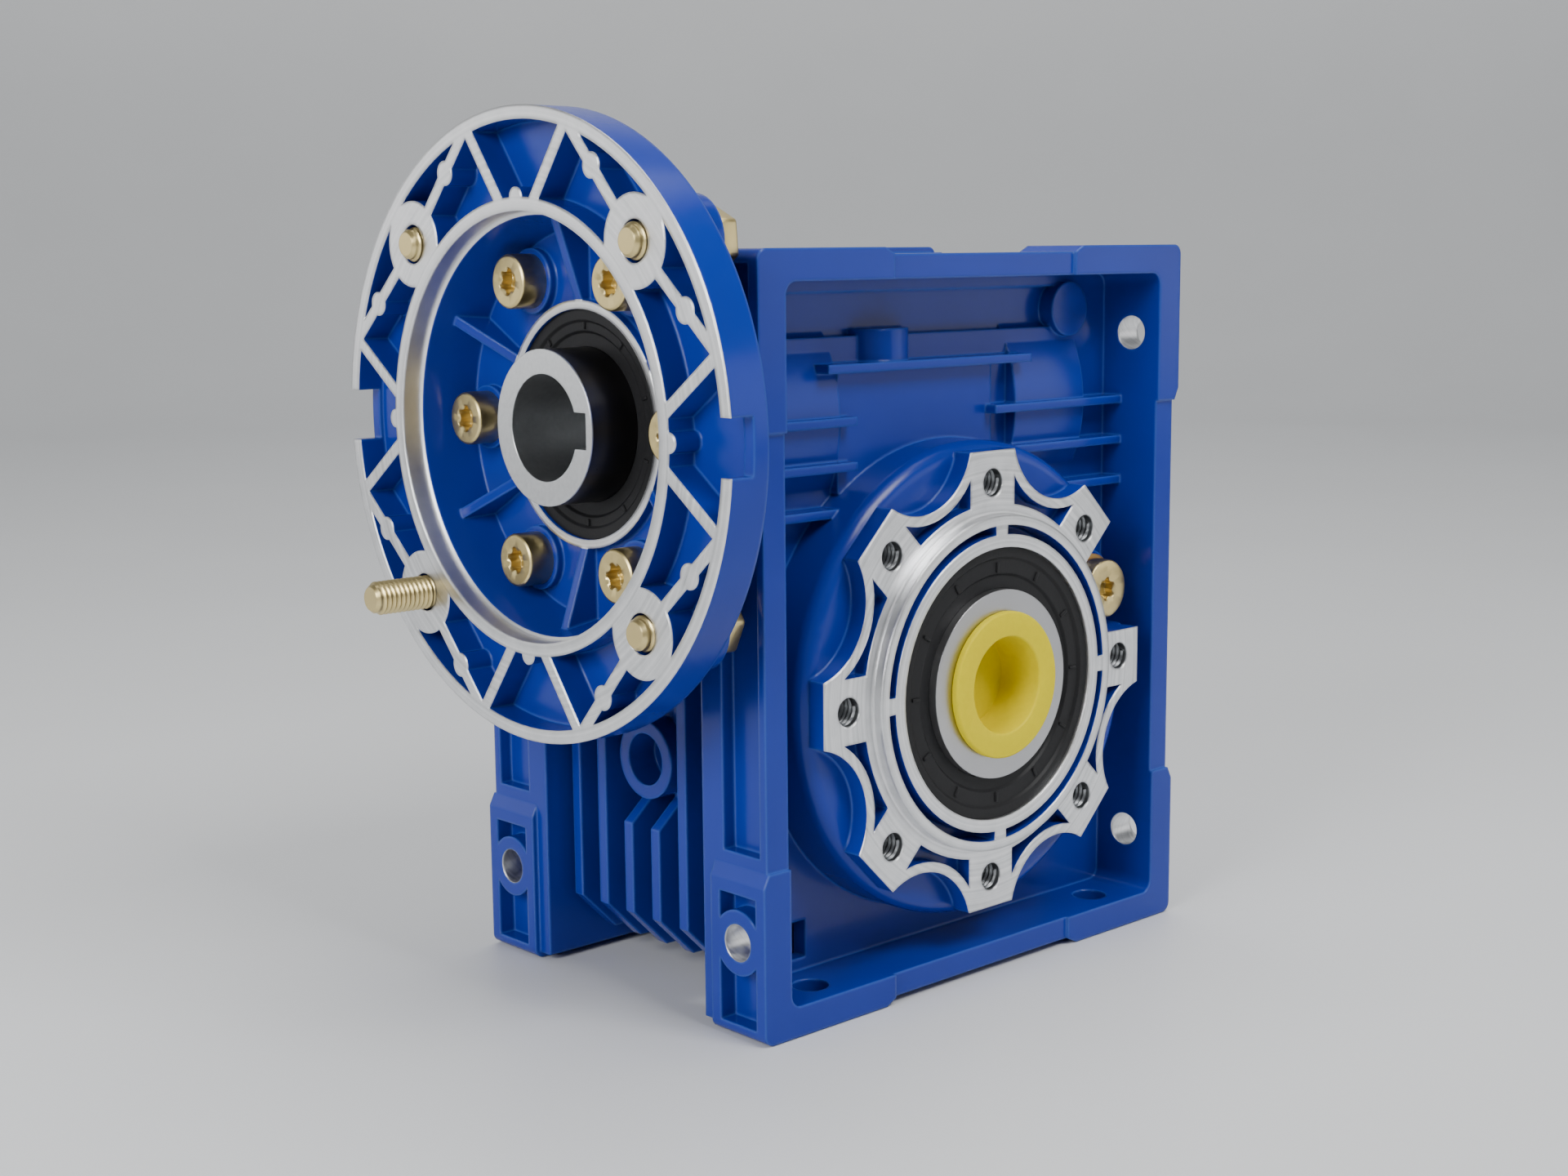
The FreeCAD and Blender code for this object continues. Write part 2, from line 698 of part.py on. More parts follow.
for fin in range(FIN_COUNT):
    fin_plate = new_sketch(housing, "XZ_Plane", f"{fin - (FIN_COUNT - 1) / 2} * fin_pitch - fin_wall / 2")
    outline(fin_plate, [
        (f"{FIN_SIDE} - fin_chamfer", INNER_FLOOR),
        (FIN_SIDE, f"{INNER_FLOOR} + fin_chamfer"),
        (FIN_SIDE, INNER_TOP),
        (f"-1 * {FIN_SIDE}", INNER_TOP),
        (f"-1 * {FIN_SIDE}", f"{INNER_FLOOR} + fin_chamfer"),
        (f"-1 * {FIN_SIDE} + fin_chamfer", INNER_FLOOR),
    ])
    pad(housing, fin_plate, "fin_wall")

# The two middle fins stop below the round side boss on the motor side
fin_relief = new_sketch(housing, "XZ_Plane", "fin_relief_width / 2")
relief_low = "(-1 * side_boss_drop - side_boss_diameter / 2 - fin_chamfer)"
outline(fin_relief, [
    (f"-1 * {SIDE}", f"{relief_low} - pad_slope"),
    ("-1 * drum_diameter / 2", f"{relief_low} + fin_chamfer"),
    ("-1 * drum_diameter / 2", "fin_pitch"),
    (f"-1 * {SIDE}", "fin_pitch"),
])
pocket(housing, fin_relief, "fin_relief_width")
side_boss = new_sketch(housing, "YZ_Plane", f"-1 * {FIN_SIDE} + pad_step")
circle(side_boss, 0, "-1 * side_boss_drop", "side_boss_diameter / 2")
pad(housing, side_boss, "side_boss_length")

# Bores of the housing: output stack from the front, gear chamber from the rear, worm tunnel
output_bores = new_sketch(housing, "XY_Plane")
outline(output_bores, [
    (0, "-1 * spigot_face - over_cut"),
    ("seal_outer / 2", "-1 * spigot_face - over_cut"),
    ("seal_outer / 2", f"-1 * {BEARING_FACE}"),
    ("output_bearing_outer / 2", f"-1 * {BEARING_FACE}"),
    ("output_bearing_outer / 2", "-1 * chamber_face"),
    ("chamber_diameter / 2", "-1 * chamber_face"),
    ("chamber_diameter / 2", "cover_joint + over_cut"),
    (0, "cover_joint + over_cut"),
])
turn_profile(housing, output_bores, "Groove")
worm_bores = new_sketch(housing, "XY_Plane", "centre_distance")
bearing_back = f"(-1 * {INPUT_BEARING_FACE} + input_bearing_width)"
outline(worm_bores, [
    (f"-1 * {SIDE} - over_cut", 0),
    (f"{FIN_SIDE} + over_cut", 0),
    (f"{FIN_SIDE} + over_cut", "tail_bearing_outer / 2"),
    ("tail_bearing_start", "tail_bearing_outer / 2"),
    ("tail_bearing_start", "tunnel_bore / 2"),
    (bearing_back, "tunnel_bore / 2"),
    (bearing_back, "input_bearing_outer / 2"),
    (f"-1 * {SIDE} - over_cut", "input_bearing_outer / 2"),
])
turn_profile(housing, worm_bores, "Groove", "H_Axis")

# Tapped holes
flange_taps = new_sketch(housing, "YZ_Plane", f"-1 * {SIDE}")
for step in range(FLANGE_SCREWS):
    tap_y, tap_z = turned("flange_screw_circle / 2", 0, 360 * step / FLANGE_SCREWS)
    circle(flange_taps, tap_y, f"centre_distance + {tap_z}", "flange_screw / 2 + running_gap")
pocket(housing, flange_taps, "flange_screw_reach + flange_screw", reverse=True)
side_boss_hole = new_sketch(housing, "YZ_Plane", f"-1 * {FIN_SIDE} + pad_step")
circle(side_boss_hole, 0, "-1 * side_boss_drop", "side_boss_hole / 2")
pocket(housing, side_boss_hole, "side_boss_hole_depth", reverse=True)


# Rear cover: bearing hub, register with its seal ring, and the same bolting face as the front

cover = new_body("output_cover")
cover_profile = new_sketch(cover, "XY_Plane")
register_radius = "(chamber_diameter / 2 - running_gap)"
ring_groove = "(o_ring + 2 * running_gap)"
ring_start = "(cover_joint - o_ring_inset - o_ring)"
outline(cover_profile, [
    ("output_bearing_outer / 2", f"{BEARING_FACE} - output_bearing_width"),
    ("cover_hub / 2", f"{BEARING_FACE} - output_bearing_width"),
    ("cover_hub / 2", "cover_joint - cover_register"),
    (register_radius, "cover_joint - cover_register"),
    (register_radius, f"{ring_start} - running_gap"),
    (f"chamber_diameter / 2 - {ring_groove}", f"{ring_start} - running_gap"),
    (f"chamber_diameter / 2 - {ring_groove}", f"{ring_start} + o_ring + running_gap"),
    (register_radius, f"{ring_start} + o_ring + running_gap"),
    (register_radius, "cover_joint"),
    ("cover_diameter / 2", "cover_joint"),
    ("cover_diameter / 2", "drum_face"),
    ("spigot_diameter / 2", "drum_face"),
    ("spigot_diameter / 2", "spigot_face"),
    ("seal_outer / 2", "spigot_face"),
    ("seal_outer / 2", BEARING_FACE),
    ("output_bearing_outer / 2", BEARING_FACE),
])
turn_profile(cover, cover_profile)
add_output_face(cover, rear=True)
cover_bore = new_sketch(cover, "XZ_Plane", "-1 * spigot_face")
circle(cover_bore, 0, 0, "seal_outer / 2")
pocket(cover, cover_bore, f"spigot_face - {BEARING_FACE}", reverse=True)
cover_holes = new_sketch(cover, "XZ_Plane", "-1 * drum_face")
ring_of_circles(cover_holes, OUTPUT_LUGS, "cover_bolt_circle / 2", "cover_screw_hole / 2", half_lug)
pocket(cover, cover_holes, "drum_face - cover_joint", reverse=True)

cover_screws = new_body("output_cover_screws")
screw_shanks = new_sketch(cover_screws, "XZ_Plane", "-1 * drum_face")
ring_of_circles(screw_shanks, OUTPUT_LUGS, "cover_bolt_circle / 2", "cover_screw / 2", half_lug)
pad(cover_screws, screw_shanks, "drum_face - cover_joint + cover_screw_reach")
screw_heads = new_sketch(cover_screws, "XZ_Plane", "-1 * drum_face")
ring_of_circles(screw_heads, OUTPUT_LUGS, "cover_bolt_circle / 2", "cover_screw_head / 2", half_lug)
pad(cover_screws, screw_heads, "cover_screw", reverse=True)

cover_seal_ring = new_body("output_cover_o_ring")
ring_section = new_sketch(cover_seal_ring, "XY_Plane")
ring_centre = "chamber_diameter / 2 - running_gap - o_ring / 2"
circle(ring_section, ring_centre, f"{ring_start} + o_ring / 2", "o_ring / 2")
turn_profile(cover_seal_ring, ring_section)


# Rolling bearings: each has an outer ring, a ball set in a cage and an inner ring

def add_bearing(name, on_worm_axis, middle, bore, outer, width, ball, balls):
    """Deep-groove bearing about its own Y axis, centred on a place along the shaft."""
    pitch = f"(({bore} + {outer}) / 4)"
    land = f"({LAND_SHARE} * {ball})"
    race = f"({ball} / 2 + ball_gap)"
    race_half = f"sqrt({race} ^ 2 - {land} ^ 2)"
    rings = {
        "outer_ring": (f"{outer} / 2 - press_gap", f"{pitch} + {land}", "ccw"),
        "inner_ring": (f"{bore} / 2 + press_gap", f"{pitch} - {land}", "cw"),
    }
    for part, (seat, land_radius, turn) in rings.items():
        ring = new_body(f"{name}_{part}")
        section = new_sketch(ring, "XY_Plane")
        outline(section, [
            (seat, f"-1 * {width} / 2"),
            (land_radius, f"-1 * {width} / 2"),
            (land_radius, f"-1 * {race_half}"),
            (land_radius, race_half, race, turn),
            (land_radius, f"{width} / 2"),
            (seat, f"{width} / 2"),
        ])
        turn_profile(ring, section)
        place_on_axis(ring, on_worm_axis, middle)
    cage = doc.addObject("Part::Cylinder", f"{name}_cage_outside")
    cage.setExpression("Radius", bound(f"{pitch} + cage_wall / 2"))
    cage_hollow = doc.addObject("Part::Cylinder", f"{name}_cage_inside")
    cage_hollow.setExpression("Radius", bound(f"{pitch} - cage_wall / 2"))
    for tube in (cage, cage_hollow):
        tube.setExpression("Height", bound(f"{CAGE_SHARE} * {ball}"))
        tube.Placement = Placement(Vector(), Rotation(Vector(1, 0, 0), -90))
        tube.setExpression("Placement.Base.y", bound(f"-{CAGE_SHARE} * {ball} / 2"))
    solids = []
    openings = [cage_hollow]
    for step in range(balls):
        across, along = turned(pitch, 0, 360 * step / balls)
        for kind, radius, group in (("ball", f"{ball} / 2", solids), ("seat", race, openings)):
            sphere = doc.addObject("Part::Sphere", f"{name}_{kind}")
            sphere.setExpression("Radius", bound(radius))
            sphere.setExpression("Placement.Base.x", bound(across))
            sphere.setExpression("Placement.Base.z", bound(along))
            group.append(sphere)
    cage_cuts = doc.addObject("Part::MultiFuse", f"{name}_cage_cuts")
    cage_cuts.Shapes = openings
    cage_ring = doc.addObject("Part::Cut", f"{name}_cage")
    cage_ring.Base = cage
    cage_ring.Tool = cage_cuts
    ball_set = doc.addObject("Part::Compound", f"{name}_balls")
    ball_set.Label = f"{name}_balls"
    ball_set.Links = [cage_ring] + solids
    place_on_axis(ball_set, on_worm_axis, middle)
    pieces.append(ball_set)


for name, side in (("front_bearing", "-1 * "), ("rear_bearing", "")):
    add_bearing(name, False, f"{side}{BEARING_MIDDLE}", "journal_diameter", "output_bearing_outer",
                "output_bearing_width", "output_ball", balls=12)
add_bearing("worm_input_bearing", True, f"-1 * {INPUT_BEARING_FACE} + input_bearing_width / 2", "worm_journal",
            "input_bearing_outer", "input_bearing_width", "input_ball", balls=11)
add_bearing("worm_tail_bearing", True, "tail_bearing_start + tail_bearing_width / 2", "worm_tail",
            "tail_bearing_outer", "tail_bearing_width", "tail_ball", balls=9)


# Lip seals: a rubber-covered shell pressed into its seat, with a lip round the shaft

def add_seal(name, on_worm_axis, face, inward, shaft, outer):
    """Seal about its own Y axis with its outer face at a place along the shaft."""
    seal = new_body(name)
    section = new_sketch(seal, "XY_Plane")
    seat = f"({outer} / 2 - press_gap)"
    lip = f"({shaft} / 2 + running_gap)"
    depth = {
        "face": "0",
        "dish": f"{inward}seal_dish",
        "lip": f"{inward}seal_lip_inset",
        "plate": f"{inward}seal_wall",
        "lip_end": f"{inward}(seal_width - seal_recess)",
        "back": f"{inward}seal_width",
    }
    outline(section, [
        (seat, depth["face"]),
        (seat, depth["back"]),
        (f"{seat} - seal_wall", depth["back"]),
        (f"{seat} - seal_wall", depth["plate"]),
        (f"{lip} + seal_wall", depth["plate"]),
        (f"{lip} + seal_wall", depth["lip_end"]),
        (lip, depth["lip_end"]),
        (lip, depth["lip"]),
        (f"{lip} + seal_wall", depth["lip"]),
        (f"{lip} + seal_wall + seal_slope", depth["dish"]),
        (f"{seat} - seal_wall", depth["dish"]),
        (f"{seat} - seal_wall + seal_slope", depth["face"]),
    ])
    turn_profile(seal, section)
    place_on_axis(seal, on_worm_axis, face)


add_seal("front_output_seal", False, "-1 * spigot_face + seal_recess", "", "journal_diameter", "seal_outer")
add_seal("rear_output_seal", False, "spigot_face - seal_recess", "-1 * ", "journal_diameter", "seal_outer")
add_seal("input_seal", True, "-1 * hub_ring_face + seal_recess", "", "worm_journal", "input_seal_outer")


# Hollow output shaft with a keyway, and the bronze worm wheel rim shrunk on it

shaft = new_body("output_shaft")
shaft_profile = new_sketch(shaft, "XY_Plane")
shoulder = f"({BEARING_FACE} - output_bearing_width)"
half_shaft = [
    ("output_bore / 2", "spigot_face - plug_relief_depth"),
    ("plug_relief / 2", "spigot_face - plug_relief_depth"),
    ("plug_relief / 2", "spigot_face"),
    ("journal_diameter / 2", "spigot_face"),
    ("journal_diameter / 2", shoulder),
    ("shaft_collar / 2", shoulder),
    ("shaft_collar / 2", "wheel_width / 2"),
    ("wheel_rim_bore / 2", "wheel_width / 2"),
]
outline(shaft_profile, half_shaft + [(radius, f"-1 * ({along})") for radius, along in reversed(half_shaft)])
turn_profile(shaft, shaft_profile)
shaft_key = new_sketch(shaft, "XZ_Plane", "spigot_face")
key_half = "output_key_width / 2"
rectangle(shaft_key, f"-1 * {key_half}", 0, key_half, "output_key_height - output_bore / 2")
pocket(shaft, shaft_key, "2 * spigot_face")

pitch_radius = number("gear_module") * WHEEL_TEETH / 2
lead_slope = number("gear_module / worm_pitch_diameter")
thread_pitch = f"{math.pi} * gear_module"
wheel_tip = f"({pitch_radius} + gear_module)"
wheel_outer = f"({wheel_tip} + wheel_overhang)"
throat_radius = "(worm_pitch_diameter / 2 - gear_module)"
throat_half = f"sqrt({throat_radius} ^ 2 - ({throat_radius} - wheel_overhang) ^ 2)"


def flank_point(radius):
    """Half width and height of a tooth gap at a radius, on an involute flank."""
    base = pitch_radius * math.cos(math.radians(PRESSURE_ANGLE))
    angle = math.acos(min(1, base / radius))
    pressure = math.radians(PRESSURE_ANGLE)
    spread = math.tan(angle) - angle - math.tan(pressure) + pressure
    half = number(f"{thread_pitch} / 4 + flank_clearance") / pitch_radius + spread
    return radius * math.sin(half), radius * math.cos(half)


wheel = new_body("worm_wheel_rim")
wheel_profile = new_sketch(wheel, "XY_Plane")
rim_seat = "(wheel_rim_bore / 2 + press_gap)"
outline(wheel_profile, [
    (rim_seat, "-1 * wheel_width / 2"),
    (wheel_outer, "-1 * wheel_width / 2"),
    (wheel_outer, f"-1 * {throat_half}"),
    (wheel_outer, throat_half, throat_radius, "cw"),
    (wheel_outer, "wheel_width / 2"),
    (rim_seat, "wheel_width / 2"),
])
turn_profile(wheel, wheel_profile)
gap_base = flank_point(pitch_radius * math.cos(math.radians(PRESSURE_ANGLE)))
gap_top = flank_point(number(f"{wheel_outer} + wheel_overhang / 2"))
gap_root = f"{pitch_radius} - gear_module - tip_clearance"
flank_radius = pitch_radius * math.sin(math.radians(PRESSURE_ANGLE))
gap = new_sketch(wheel, "XZ_Plane")
outline(gap, [
    (-gap_base[0], gap_root),
    (gap_base[0], gap_root),
    gap_base,
    (*gap_top, flank_radius, "cw"),
    (-gap_top[0], gap_top[1]),
    (-gap_base[0], gap_base[1], flank_radius, "cw"),
])
tooth_gap = pocket(wheel, gap, "2 * wheel_width")
tooth_gap.SideType = "Symmetric"
tooth_gap.UseCustomVector = True
tooth_gap.Direction = Vector(lead_slope, 1, 0)
repeat_around(wheel, tooth_gap, gap, WHEEL_TEETH)


# Worm shaft: hollow keyed end for the motor shaft, right-hand single thread, tail journal

worm = new_body("worm_shaft", on_worm_axis=True)
worm_root = f"(worm_pitch_diameter / 2 - {DEDENDUM} * gear_module)"
collar_start = f"(-1 * {INPUT_BEARING_FACE} + input_bearing_width)"
collar_end = f"({collar_start} + worm_collar_length)"
tail_collar = "(tail_bearing_start - worm_tail_collar_length)"
groove_radius = "(worm_tail / 2 - retaining_groove_depth)"
bore_end = "(-1 * worm_end_face + motor_bore_depth)"
tail_end = f"({TAIL_BEARING_END} + retaining_ring + tail_stub)"
worm_profile = new_sketch(worm, "XY_Plane")
outline(worm_profile, [
    ("-1 * worm_end_face", "motor_bore / 2"),
    (bore_end, "motor_bore / 2"),
    (bore_end, 0),
    (tail_end, 0),
    (tail_end, "worm_tail / 2"),
    (f"{TAIL_BEARING_END} + retaining_ring", "worm_tail / 2"),
    (f"{TAIL_BEARING_END} + retaining_ring", groove_radius),
    (TAIL_BEARING_END, groove_radius),
    (TAIL_BEARING_END, "worm_tail / 2"),
    ("tail_bearing_start", "worm_tail / 2"),
    ("tail_bearing_start", "worm_tail_collar / 2"),
    (tail_collar, "worm_tail_collar / 2"),
    (f"{tail_collar} - worm_runout", worm_root),
    (f"{collar_end} + worm_runout", worm_root),
    (collar_end, "worm_collar / 2"),
    (collar_start, "worm_collar / 2"),
    (collar_start, "worm_journal / 2"),
    ("-1 * worm_end_face", "worm_journal / 2"),
])
turn_profile(worm, worm_profile, axis="H_Axis")
worm_key = new_sketch(worm, "YZ_Plane", "-1 * worm_end_face")
worm_key_half = "motor_key_width / 2"
rectangle(worm_key, "motor_bore / 2 - motor_key_height", f"-1 * {worm_key_half}", 0, worm_key_half)
pocket(worm, worm_key, "motor_bore_depth", reverse=True)
thread_section = new_sketch(worm, "XY_Plane")
thread_middle = f"(({thread_pitch}) * (0.25 - round(thread_turns / 2)))"
slope = f"tan({PRESSURE_ANGLE})"
thread_root = f"({worm_root} - tip_clearance)"
root_half = f"({thread_pitch} / 4 + ({DEDENDUM} * gear_module + tip_clearance) * {slope})"
tip_half = f"({thread_pitch} / 4 - gear_module * {slope})"
outline(thread_section, [
    (f"{thread_middle} - {root_half}", thread_root),
    (f"{thread_middle} + {root_half}", thread_root),
    (f"{thread_middle} + {tip_half}", "worm_pitch_diameter / 2 + gear_module"),
    (f"{thread_middle} - {tip_half}", "worm_pitch_diameter / 2 + gear_module"),
])
doc.recompute()
thread = worm.newObject("PartDesign::AdditiveHelix", "worm_thread")
thread.Profile = thread_section
thread.ReferenceAxis = (thread_section, ["H_Axis"])
thread.Mode = "pitch-height-angle"
thread.setExpression("Pitch", bound(thread_pitch))
thread.setExpression("Height", bound(f"{thread_pitch} * thread_turns"))

tail_ring = new_body("worm_retaining_ring")
tail_ring_section = new_sketch(tail_ring, "XY_Plane")
ring_inner = f"({groove_radius} + running_gap)"
rectangle(tail_ring_section, ring_inner, "running_gap", f"{ring_inner} + retaining_ring_width",
          "retaining_ring - running_gap")
turn_profile(tail_ring, tail_ring_section)
place_on_axis(tail_ring, True, TAIL_BEARING_END)

tail_cap = new_body("worm_end_cap")
cap_section = new_sketch(tail_cap, "XY_Plane")
cap_radius = "(tail_bearing_outer / 2 - press_gap)"
outline(cap_section, [
    (0, 0),
    (cap_radius, 0),
    (cap_radius, "-1 * cap_width"),
    (f"{cap_radius} - cap_wall_thickness", "-1 * cap_width"),
    (f"{cap_radius} - cap_wall_thickness", "-1 * cap_wall_thickness"),
    (0, "-1 * cap_wall_thickness"),
])
turn_profile(tail_cap, cap_section)
place_on_axis(tail_cap, True, FIN_SIDE)


# Motor flange: bell with hub and spigot, webbed rim, bolt lugs and screw bosses

flange = new_body("input_flange", on_worm_axis=True)
flange_back = f"(-1 * {SIDE} - flange_gap)"
rim_back = "(-1 * flange_face + flange_rim_depth)"
rim_floor = f"({rim_back} - flange_floor)"
register_back = "(-1 * flange_face + register_depth)"
register = "(register_diameter / 2)"
seal_back = "(-1 * hub_ring_face + seal_recess + seal_width)"
spigot = "(input_bearing_outer / 2 - running_gap)"
flange_profile = new_sketch(flange, "XY_Plane")
outline(flange_profile, [
    ("-1 * flange_face", register),
    (register_back, register),
    (register_back, f"{register} - register_step"),
    ("-1 * bell_floor", "bell_floor_radius"),
    ("-1 * bell_floor", "hub_ring / 2"),
    ("-1 * hub_ring_face", "hub_ring / 2"),
    ("-1 * hub_ring_face", "input_seal_outer / 2"),
    (seal_back, "input_seal_outer / 2"),
    (seal_back, "input_shaft_hole / 2"),
    (f"-1 * {INPUT_BEARING_FACE}", "input_shaft_hole / 2"),
    (f"-1 * {INPUT_BEARING_FACE}", spigot),
    (f"-1 * {SIDE}", spigot),
    (f"-1 * {SIDE}", "flange_seat_diameter / 2"),
    (flange_back, "flange_seat_diameter / 2"),
    (flange_back, "bell_floor_radius + bell_wall"),
    (rim_back, f"{register} + bell_wall"),
    (rim_back, "flange_diameter / 2"),
    ("-1 * flange_face", "flange_diameter / 2"),
    ("-1 * flange_face", "flange_diameter / 2 - flange_rim"),
    (rim_floor, "flange_diameter / 2 - flange_rim"),
    (rim_floor, f"{register} + register_rim"),
    ("-1 * flange_face", f"{register} + register_rim"),
])
turn_profile(flange, flange_profile, axis="H_Axis")
spoke_depth = f"{rim_floor} + flange_face"

lugs = new_sketch(flange, "YZ_Plane", "-1 * flange_face")
ring_of_circles(lugs, MOTOR_BOLTS, "motor_bolt_circle / 2", "motor_lug / 2", 45)
pad(flange, lugs, "motor_lug_depth")


def polar_point(radius, angle):
    turn = math.radians(angle)
    return Vector(number(radius) * math.cos(turn), number(radius) * math.sin(turn), 0)


def bar_corners(start, end):
    """Corners of a straight spoke between two points of the flange face."""
    along = (end - start).normalize()
    across = Vector(-along.y, along.x, 0) * (number("spoke_width") / 2)
    return [(point.x, point.y) for point in (start - across, end - across, end + across, start + across)]


outer_spokes = new_sketch(flange, "YZ_Plane", "-1 * flange_face")
inner_spokes = new_sketch(flange, "YZ_Plane", "-1 * flange_face")
bumps = new_sketch(flange, "YZ_Plane", "-1 * flange_face")
rim_middle = "flange_diameter / 2 - flange_rim / 2"
register_middle = f"{register} + register_rim / 2"
for step in range(MOTOR_BOLTS):
    sector = 360 * step / MOTOR_BOLTS
    for hand in (-1, 1):
        lug_centre = polar_point("motor_bolt_circle / 2", sector + hand * 45)
        rim_node = polar_point(rim_middle, sector + hand * number("spoke_outer_angle"))
        register_node = polar_point(register_middle, sector + hand * number("spoke_inner_angle"))
        lug_edge = lug_centre + (rim_node - lug_centre).normalize() * number("spoke_root")
        outline(outer_spokes, bar_corners(lug_edge, rim_node))
        outline(inner_spokes, bar_corners(register_node, rim_node))
        bump = (lug_edge + rim_node) * 0.5
        circle(bumps, bump.x, bump.y, "spoke_bump / 2")
    circle(bumps, *turned(f"{register} + register_rim", 0, sector), "rim_nub / 2")
for spokes in (outer_spokes, inner_spokes, bumps):
    pad(flange, spokes, spoke_depth)

notches = new_sketch(flange, "YZ_Plane", "-1 * flange_face")
notch_half = "rim_notch / 2"
notch_low = f"{register} + register_rim + rim_nub"
notch_high = "flange_diameter / 2 + flange_rim"
rectangle(notches, notch_low, f"-1 * {notch_half}", notch_high, notch_half)
rectangle(notches, f"-1 * ({notch_high})", f"-1 * {notch_half}", f"-1 * ({notch_low})", notch_half)
pocket(flange, notches, "rim_notch_depth", reverse=True)

screw_bosses = new_sketch(flange, "YZ_Plane", f"-1 * {SCREW_SEAT}")
ring_of_circles(screw_bosses, FLANGE_SCREWS, "flange_screw_circle / 2", "flange_screw_boss_diameter / 2")
pad(flange, screw_bosses, "flange_screw_boss")
bell_rib = new_sketch(flange, "XZ_Plane", "-1 * bell_rib / 2")
outline(bell_rib, [
    ("-1 * bell_floor", "hub_ring / 2 - running_gap"),
    ("-1 * hub_ring_face", "hub_ring / 2 - running_gap"),
    ("-1 * bell_floor - bell_rib_height", f"{register} - register_step"),
    ("-1 * bell_floor", f"{register} - register_step"),
])
rib = pad(flange, bell_rib, "bell_rib")
rib_axis = new_sketch(flange, "YZ_Plane")
repeat_around(flange, rib, rib_axis, FLANGE_SCREWS)

bolt_holes = new_sketch(flange, "YZ_Plane", "-1 * flange_face")
ring_of_circles(bolt_holes, MOTOR_BOLTS, "motor_bolt_circle / 2", "motor_bolt_hole / 2", 45)
pocket(flange, bolt_holes, "motor_lug_depth", reverse=True)
screw_holes = new_sketch(flange, "YZ_Plane", f"-1 * {SCREW_SEAT}")
ring_of_circles(screw_holes, FLANGE_SCREWS, "flange_screw_circle / 2", "flange_screw_hole / 2")
pocket(flange, screw_holes, f"{SCREW_SEAT} - {SIDE}", reverse=True)

flange_screws = new_body("input_flange_screws", on_worm_axis=True)
flange_heads = new_sketch(flange_screws, "YZ_Plane", f"-1 * {SCREW_SEAT}")
ring_of_circles(flange_heads, FLANGE_SCREWS, "flange_screw_circle / 2", "flange_screw_head / 2")
pad(flange_screws, flange_heads, "flange_screw_head_height", reverse=True)
flange_shanks = new_sketch(flange_screws, "YZ_Plane", f"-1 * {SCREW_SEAT}")
ring_of_circles(flange_shanks, FLANGE_SCREWS, "flange_screw_circle / 2", "flange_screw / 2")
pad(flange_screws, flange_shanks, f"{SCREW_SEAT} - {SIDE} + flange_screw_reach")


# Motor bolts through the flange lugs, each with a washer; the lower rear one is longer

bolts = new_body("motor_bolts", on_worm_axis=True)
shanks = new_sketch(bolts, "YZ_Plane", f"-1 * {HEX_SEAT}")
ring_of_circles(shanks, MOTOR_BOLTS, "motor_bolt_circle / 2", "motor_bolt / 2", 45)
pad(bolts, shanks, f"flange_face + bolt_proud - {HEX_SEAT}", reverse=True)
hexes = new_sketch(bolts, "YZ_Plane", f"-1 * {HEX_SEAT}")
hex_corner = "hex_across_flats / sqrt(3)"
for step in range(MOTOR_BOLTS):
    bolt_y, bolt_z = turned("motor_bolt_circle / 2", 0, 45 + 360 * step / MOTOR_BOLTS)
    hexagon = [turned(hex_corner, 0, f"{60 * side} + hex_turn") for side in range(6)]
    outline(hexes, [(f"{bolt_y} + {y}", f"{bolt_z} + {z}") for y, z in hexagon])
pad(bolts, hexes, "hex_height")
long_shank = new_sketch(bolts, "YZ_Plane", "-1 * flange_face - bolt_proud")
circle(long_shank, *turned("motor_bolt_circle / 2", 0, -45), "motor_bolt / 2")
pad(bolts, long_shank, "long_bolt_extra", reverse=True)

washers = new_body("motor_bolt_washers", on_worm_axis=True)
washer_rings = new_sketch(washers, "YZ_Plane", f"-1 * {LUG_BACK}")
ring_of_circles(washer_rings, MOTOR_BOLTS, "motor_bolt_circle / 2", "washer_diameter / 2", 45)
ring_of_circles(washer_rings, MOTOR_BOLTS, "motor_bolt_circle / 2", "washer_hole / 2", 45)
pad(washers, washer_rings, "washer_thickness")


# Oil plug with its sealing washer beside the drum

oil_plug = new_body("oil_plug")
plug_head = new_sketch(oil_plug, "XZ_Plane", "oil_plug_seat + oil_washer_thickness")
circle(plug_head, "oil_plug_x", "oil_plug_z", "oil_plug_head / 2")
pad(oil_plug, plug_head, "oil_plug_head_height")
plug_thread = new_sketch(oil_plug, "XZ_Plane", "oil_plug_seat + oil_washer_thickness")
circle(plug_thread, "oil_plug_x", "oil_plug_z", "oil_plug_thread / 2")
pad(oil_plug, plug_thread, "oil_washer_thickness + oil_plug_length", reverse=True)
oil_washer = new_body("oil_plug_washer")
washer_disc = new_sketch(oil_washer, "XZ_Plane", "oil_plug_seat")
circle(washer_disc, "oil_plug_x", "oil_plug_z", "oil_washer_diameter / 2")
circle(washer_disc, "oil_plug_x", "oil_plug_z", "oil_plug_thread / 2 + running_gap")
pad(oil_washer, washer_disc, "oil_washer_thickness")


# Plastic plug that closes the front of the hollow shaft until a shaft is fitted

